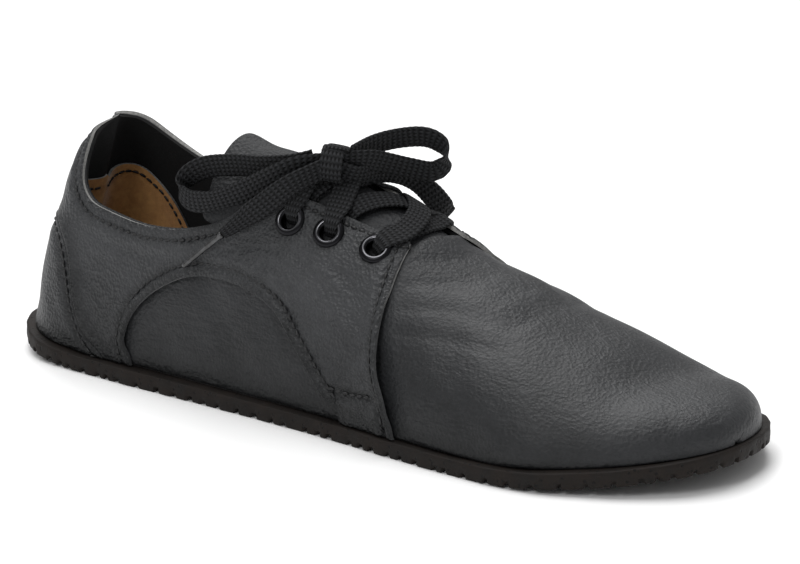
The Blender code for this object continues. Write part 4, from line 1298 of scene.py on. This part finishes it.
def make_insole():
    travel = np.concatenate([np.linspace(0, 0.2, 60), np.linspace(0.2, TIP_TRAVEL, 160)[1:]])
    rims = []
    for side in (LATERAL, MEDIAL):
        points = bare(travel, np.full(len(travel), side * 1.0))
        middle = middle_line(points[:, 0] / SHOE_LENGTH)
        points[:, 1] = middle + (points[:, 1] - middle) * 0.955
        points[:, 0] = np.clip(points[:, 0], INSOLE_BACK, INSOLE_FRONT)
        rims.append(points[:, :2])
    bm = bmesh.new()
    levels = [(0.0, 1.0), (0.0012, 1.0), (0.0016, 0.97), (0.0018, 0.5), (0.0018, 0.0)]
    previous = None
    for up, share in levels:
        row = []
        for rim in rims:
            for x, y in rim:
                middle = middle_line(x / SHOE_LENGTH)
                centre = Vector((min(max(x, 0.03), 0.235), middle))
                px = centre.x + (x - centre.x) * share
                py = centre.y + (y - centre.y) * share
                row.append(bm.verts.new((px - HEEL_MARK, py, foot_level(px) + up)))
        half = len(rims[0])
        loop = row[:half] + row[half:][::-1]
        if previous:
            for i in range(len(loop)):
                j = (i + 1) % len(loop)
                bm.faces.new((previous[i], previous[j], loop[j], loop[i]))
        else:
            bm.faces.new(loop[::-1])
        previous = loop
    bmesh.ops.remove_doubles(bm, verts=bm.verts, dist=1e-5)
    bmesh.ops.recalc_face_normals(bm, faces=bm.faces)
    mesh = bpy.data.meshes.new("insole_textile")
    bm.to_mesh(mesh)
    bm.free()
    mesh.materials.append(LINING)
    made = new_object("insole_textile", mesh)
    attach(made, "root")
    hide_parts("insole")


# Eyelets

def make_eyelets():
    profile = [(0.0029, -0.0024), (0.00265, -0.0020), (0.00262, 0.0001), (0.00285, 0.00055),
               (0.0033, 0.00088), (0.0038, 0.00092), (0.0044, 0.00070), (0.00485, 0.00030),
               (0.0050, -0.00004), (0.0048, -0.00010), (0.0034, -0.00006), (0.00335, -0.0022)]
    for (side, number), (travel, round_) in EYELETS.items():
        word = "lateral" if side == LATERAL else "medial"
        point, normal = skin_at(np.array([travel]), np.array([round_]), np.array([QUARTER_TOP]))
        normal = Vector(normal[0])
        forward = (Vector((1, 0, 0)) - normal * normal.x).normalized()
        turn = Matrix((forward, normal.cross(forward), normal)).transposed().to_4x4()
        bm = bmesh.new()
        ring = [bm.verts.new((radius, 0, up)) for radius, up in profile]
        edges = [bm.edges.new((a, b)) for a, b in zip(ring, ring[1:] + ring[:1])]
        bmesh.ops.spin(bm, geom=ring + edges, cent=(0, 0, 0), axis=(0, 0, 1), angle=math.tau,
                       steps=40, use_merge=True)
        bmesh.ops.remove_doubles(bm, verts=bm.verts, dist=1e-6)
        bmesh.ops.recalc_face_normals(bm, faces=bm.faces)
        for face in bm.faces:
            middle = face.calc_center_median()
            face.smooth = True
            # A band on the rolled crown wears the lighter plate: a painted highlight where the roll
            # catches the light.
            face.material_index = int(0.0031 < math.hypot(middle.x, middle.y) < 0.0038
                                      and middle.z > 0.0005)
        bmesh.ops.transform(bm, matrix=Matrix.Translation(Vector(point[0])) @ turn, verts=bm.verts)
        mesh = bpy.data.meshes.new(f"eyelet_ring_{word}_{number}")
        bm.to_mesh(mesh)
        bm.free()
        mesh.materials.append(DARK_PLATE)
        mesh.materials.append(ROLL_HIGHLIGHT_PLATE)
        made = new_object(mesh.name, mesh)
        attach(made, "root")
        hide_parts(f"eyelet_{word}_{number}")


# The lace

def even_path(points, step, extras=()):
    """A path in even steps, and other rows of values read at the same places."""
    points = np.asarray(points, float)
    run = run_along(points)
    marks = np.linspace(0, run[-1], max(int(run[-1] / step), 8))
    made = np.stack([np.interp(marks, run, points[:, k]) for k in range(3)], -1)
    return (made, *[np.stack([np.interp(marks, run, e[:, k]) for k in range(e.shape[1])], -1)
                    for e in extras])


def lace(name, points, faceways, width):
    """Flat braided lace along points; faceways are the ways that its broad face looks."""
    points, faceways = np.asarray(points, float), np.asarray(faceways, float)
    widths = np.full((len(points), 1), 1.0) * np.reshape(width, (-1, 1))
    points, faceways, widths = even_path(points, 0.0005, (faceways, widths))
    for _ in range(3):
        points[1:-1] = (points[:-2] + 2 * points[1:-1] + points[2:]) / 4
    ways = np.gradient(points, axis=0)
    ways /= np.linalg.norm(ways, axis=1, keepdims=True)
    across = np.cross(faceways, ways)
    across /= np.maximum(np.linalg.norm(across, axis=1, keepdims=True), 1e-9)
    faces_up = np.cross(ways, across)
    run = run_along(points)
    ring = []
    for a in np.arange(16) * math.tau / 16:
        c, s = math.cos(a), math.sin(a)
        ring.append((math.copysign(abs(c) ** 0.65, c) / 2, math.copysign(abs(s) ** 0.75, s) / 2))
    ring = np.array(ring)
    edge_wave = 1 + 0.018 * np.sin(run * math.tau / 0.0017)
    vertices = []
    for i in range(len(points)):
        w = widths[i, 0] * edge_wave[i]
        thick = LACE_THICKNESS * (1 + 0.35 * (1 - min(widths[i, 0] / LACE_WIDTH, 1)))
        vertices.append(points[i] + ring[:, :1] * w * across[i] + ring[:, 1:] * thick * faces_up[i])
    vertices = np.vstack(vertices)
    n = len(ring)
    made = finish_object(name, vertices, tube_faces(len(points), n), [BRAID])
    bm = bmesh.new()
    bm.from_mesh(made.data)
    layer = bm.loops.layers.uv.new("run")
    girth = run_along(np.vstack([ring, ring[:1]]) * [LACE_WIDTH, LACE_THICKNESS])
    bm.verts.ensure_lookup_table()
    for face in bm.faces:
        ks = [v.index % n for v in face.verts]
        wrap = max(ks) == n - 1 and min(ks) == 0 and len(ks) == 4
        for loop, k in zip(face.loops, ks):
            k = n if wrap and k == 0 else k
            loop[layer].uv = (run[loop.vert.index // n], girth[k])
    bmesh.ops.recalc_face_normals(bm, faces=bm.faces)
    bm.to_mesh(made.data)
    bm.free()
    return made, points, run[-1]


def gathered_width(run):
    """Width of the lace, narrow where it leaves an eyelet at the start of a run."""
    return LACE_WIDTH * (0.60 + 0.40 * np.clip((run - 0.0012) / 0.006, 0, 1))


def strand_path(start, end, end_under, on_tongue, bow):
    """Path on the shoe from one eyelet across the throat to another eyelet."""
    (t0, v0), (t1, v1) = EYELETS[start], EYELETS[end]
    s = np.linspace(0, 1, 90)
    travel = t0 + (t1 - t0) * ease(s) + bow * np.sin(math.pi * s)
    round_ = v0 + (v1 - v0) * s
    points, _ = skin_at(travel, round_, np.zeros(90))
    run = run_along(points)
    total = run[-1]
    on_leather = QUARTER_TOP + STRAND_RISE
    clear = EYELET_INSET + 0.0012
    fall = ease(np.clip((run - clear) / 0.0055, 0, 1))
    height = on_leather + (on_tongue - on_leather) * fall
    climb_out = np.clip(1 - run / STRAND_CLIMB, 0, 1)
    height = height + 0.0004 * np.exp(-((run - 0.0042) / 0.0016) ** 2)
    height = height - climb_out ** 2 * (on_leather - (QUARTER_TOP - STRAND_SINK))
    widths = gathered_width(run)
    if end_under:
        keep = run < total - EYELET_INSET + 0.003
        under = np.clip((run - (total - EYELET_INSET - 0.006)) / 0.006, 0, 1)
        height = height - under * (on_tongue + 0.0010)
    else:
        left = total - run
        rise = ease(np.clip((left - clear) / 0.0055, 0, 1))
        height = np.where(left < total / 2, on_leather + (on_tongue - on_leather) * rise
                          - np.clip(1 - left / STRAND_CLIMB, 0, 1) ** 2
                          * (on_leather - (QUARTER_TOP - STRAND_SINK)), height)
        widths = np.minimum(widths, gathered_width(left))
        keep = np.ones(90, bool)
    points, normals = skin_at(travel, round_, height)
    return points[keep], normals[keep], widths[keep]


def make_strands():
    runs = [
        ("lace_front_bar", (LATERAL, 1), (MEDIAL, 1), False, 0.0007, 0.010, "lace_bar_1"),
        ("lace_crossing_1", (MEDIAL, 1), (LATERAL, 2), True, 0.0016, 0.0, None),
        ("lace_crossing_2", (LATERAL, 1), (MEDIAL, 2), True, 0.0030, 0.022, "lace_bar_1"),
        ("lace_crossing_3", (MEDIAL, 2), (LATERAL, 3), True, 0.0016, 0.0, "lace_bar_2"),
        ("lace_crossing_4", (LATERAL, 2), (MEDIAL, 3), True, 0.0030, 0.0, "lace_bar_2"),
    ]
    for name, start, end, under, rise, bow, node in runs:
        points, normals, widths = strand_path(start, end, under, rise, bow)
        made, _, _ = lace(name, points, normals, widths)
        if node:
            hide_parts(node)
    knot = Vector(KNOT_ROUTE[1]) - Vector((HEEL_MARK, 0, 0))
    for name, start in (("lace_riser_lateral", (LATERAL, 3)), ("lace_riser_medial", (MEDIAL, 3))):
        travel, round_ = EYELETS[start]
        goal = 0.12 * round_
        s = np.linspace(0, 1, 60)
        ts = travel + (0.0 if start[0] == LATERAL else 0.01) * s
        rs = round_ + (goal - round_) * s
        flat, _ = skin_at(ts, rs, np.zeros(60))
        run = run_along(flat)
        height = QUARTER_TOP + STRAND_RISE - np.clip(1 - run / STRAND_CLIMB, 0, 1) ** 2 * 0.0038
        height = height + np.clip((run - 0.009) / 0.012, 0, 1) * 0.0006
        points, normals = skin_at(ts, rs, height)
        widths = gathered_width(run)
        blend = np.clip((s - 0.75) / 0.25, 0, 1)[:, None]
        points = points * (1 - 0.6 * blend) + (np.array(knot) - [0, 0, 0.002]) * 0.6 * blend
        made, _, _ = lace(name, points, normals, widths)
        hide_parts("lace_bar_3")


def to_shoe(route):
    return np.array(route) - [HEEL_MARK, 0, 0]


# The photograph's camera: its turn from the lateral side to the toe, and its rise
CAMERA_TURN = math.radians(38)
CAMERA_RISE = math.radians(16.5)
CAMERA_TARGET = (0.08278, 0.00674, 0.03798)
CAMERA_AWAY = 1.5
VIEW_RIGHT = np.array([math.cos(CAMERA_TURN), math.sin(CAMERA_TURN), 0.0])
VIEW_BACK = np.array([math.sin(CAMERA_TURN) * math.cos(CAMERA_RISE),
                      -math.cos(CAMERA_TURN) * math.cos(CAMERA_RISE), math.sin(CAMERA_RISE)])
VIEW_UP = np.cross(VIEW_BACK, VIEW_RIGHT)


def make_bow():
    """Two lace ends, each a loop and a tail, and the band that ties them."""
    knot = to_shoe(KNOT_ROUTE)
    for word, loop, tail, axis in (
            ("left", LOOP_LEFT_ROUTE, END_LEFT_ROUTE, 0.86 * VIEW_UP + 0.5 * VIEW_BACK),
            ("right", LOOP_RIGHT_ROUTE, END_RIGHT_ROUTE, 0.80 * VIEW_UP + 0.6 * VIEW_BACK)):
        route = curve_through(np.vstack([to_shoe(loop), knot[1:2] - [0, 0, 0.0015],
                                         to_shoe(tail)]), steps=14)
        ways = np.gradient(route, axis=0)
        ways /= np.linalg.norm(ways, axis=1, keepdims=True)
        faceways = np.cross(ways, axis)
        size = np.linalg.norm(faceways, axis=1, keepdims=True)
        faceways /= np.maximum(size, 1e-6)
        left = np.linalg.norm(route - route[-1], axis=1)
        taper = 0.55 if word == "left" else 0.0
        widths = LACE_WIDTH * (1 - taper * np.clip(1 - left / 0.013, 0, 1) ** 0.8)
        made, path, length = lace(f"lace_bow_{word}", route, faceways, widths)
        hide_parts(f"lace_loop_{word}", f"lace_end_{word}")
        extra = [make_tip()] if word == "left" else []
    way = knot[2] - knot[0]
    way /= np.linalg.norm(way)
    turns = np.linspace(-0.6, math.tau + 0.7, 60)
    over = VIEW_UP - way * (VIEW_UP @ way)
    over /= np.linalg.norm(over)
    aside = np.cross(way, over)
    reach = 1 + 0.10 * (turns / math.tau)
    band = (knot[1] + [0, 0, -0.0012] + np.outer(np.cos(turns) * 0.0048 * reach, over)
            + np.outer(np.sin(turns) * 0.0040 * reach, aside) + np.outer(turns * 0.0002, way))
    facing = np.outer(np.cos(turns), over) + np.outer(np.sin(turns), aside)
    made, _, _ = lace("lace_knot_band", band, facing, LACE_WIDTH * 0.95)
    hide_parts("lace_knot")


def make_tip():
    """Slim rolled tip on the lace's end."""
    route = curve_through(to_shoe(TIP_ROUTE), steps=10)
    route = even_path(route, 0.0006)[0]
    ways = np.gradient(route, axis=0)
    ways /= np.linalg.norm(ways, axis=1, keepdims=True)
    side = np.cross(ways, VIEW_BACK)
    side /= np.linalg.norm(side, axis=1, keepdims=True)
    up = np.cross(side, ways)
    count = 14
    run = np.linspace(0, 1, len(route))
    radius = 0.00092 - 0.00015 * run
    radius = radius * np.clip(np.sqrt(np.clip((1 - run) / 0.03, 0, 1)), 0.25, 1)
    vertices = []
    for i, point in enumerate(route):
        for a in np.arange(count) * math.tau / count:
            flare = 1.25 if i < 2 else 1.0
            vertices.append(point + (side[i] * math.cos(a) + up[i] * math.sin(a) * 0.8)
                            * radius[i] * flare)
    made = finish_object("lace_film_tip", vertices, tube_faces(len(route), count), [FILM])
    face_outward(made)
    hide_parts("lace_tip")
    return made


# Camera, light and floor

def make_studio():
    target = Vector(CAMERA_TARGET)
    camera = bpy.data.cameras.new("photo_camera")
    camera.sensor_width = 36
    camera.lens = 224.39
    camera.clip_start = 0.05
    eye = new_object("photo_camera", camera)
    eye.location = target + Vector(VIEW_BACK) * CAMERA_AWAY
    eye.rotation_euler = (target - eye.location).to_track_quat("-Z", "Y").to_euler()
    bpy.context.scene.camera = eye
    bm = bmesh.new()
    bmesh.ops.create_grid(bm, x_segments=2, y_segments=2, size=3.0)
    mesh = bpy.data.meshes.new("studio_floor")
    bm.to_mesh(mesh)
    bm.free()
    mesh.materials.append(pale_floor())
    floor = new_object("studio_floor", mesh)
    world = bpy.data.worlds.new("soft_white")
    world.use_nodes = True
    world.node_tree.nodes["Background"].inputs["Color"].default_value = (1, 1, 1, 1)
    world.node_tree.nodes["Background"].inputs["Strength"].default_value = 0.42
    bpy.context.scene.world = world
    for name, place, spread, strength in (
            ("key_above", (-0.25, 0.10, 1.0), 50, 1.9), ("top_back", (-0.6, 0.7, 0.9), 25, 0.60),
            ("side_high", (0.10, -0.85, 0.80), 22, 0.62)):
        data = bpy.data.lights.new(name, "SUN")
        data.angle = math.radians(spread)
        data.energy = strength
        lamp = new_object(name, data)
        lamp.rotation_euler = Vector(place).to_track_quat("Z", "Y").to_euler()
    bpy.context.scene.view_settings.view_transform = "Standard"


make_studio()
make_bow()
make_strands()
make_outsole()
make_insole()
make_upper()
make_quarters()
make_counter()
make_tongue()
make_patch()
make_eyelets()
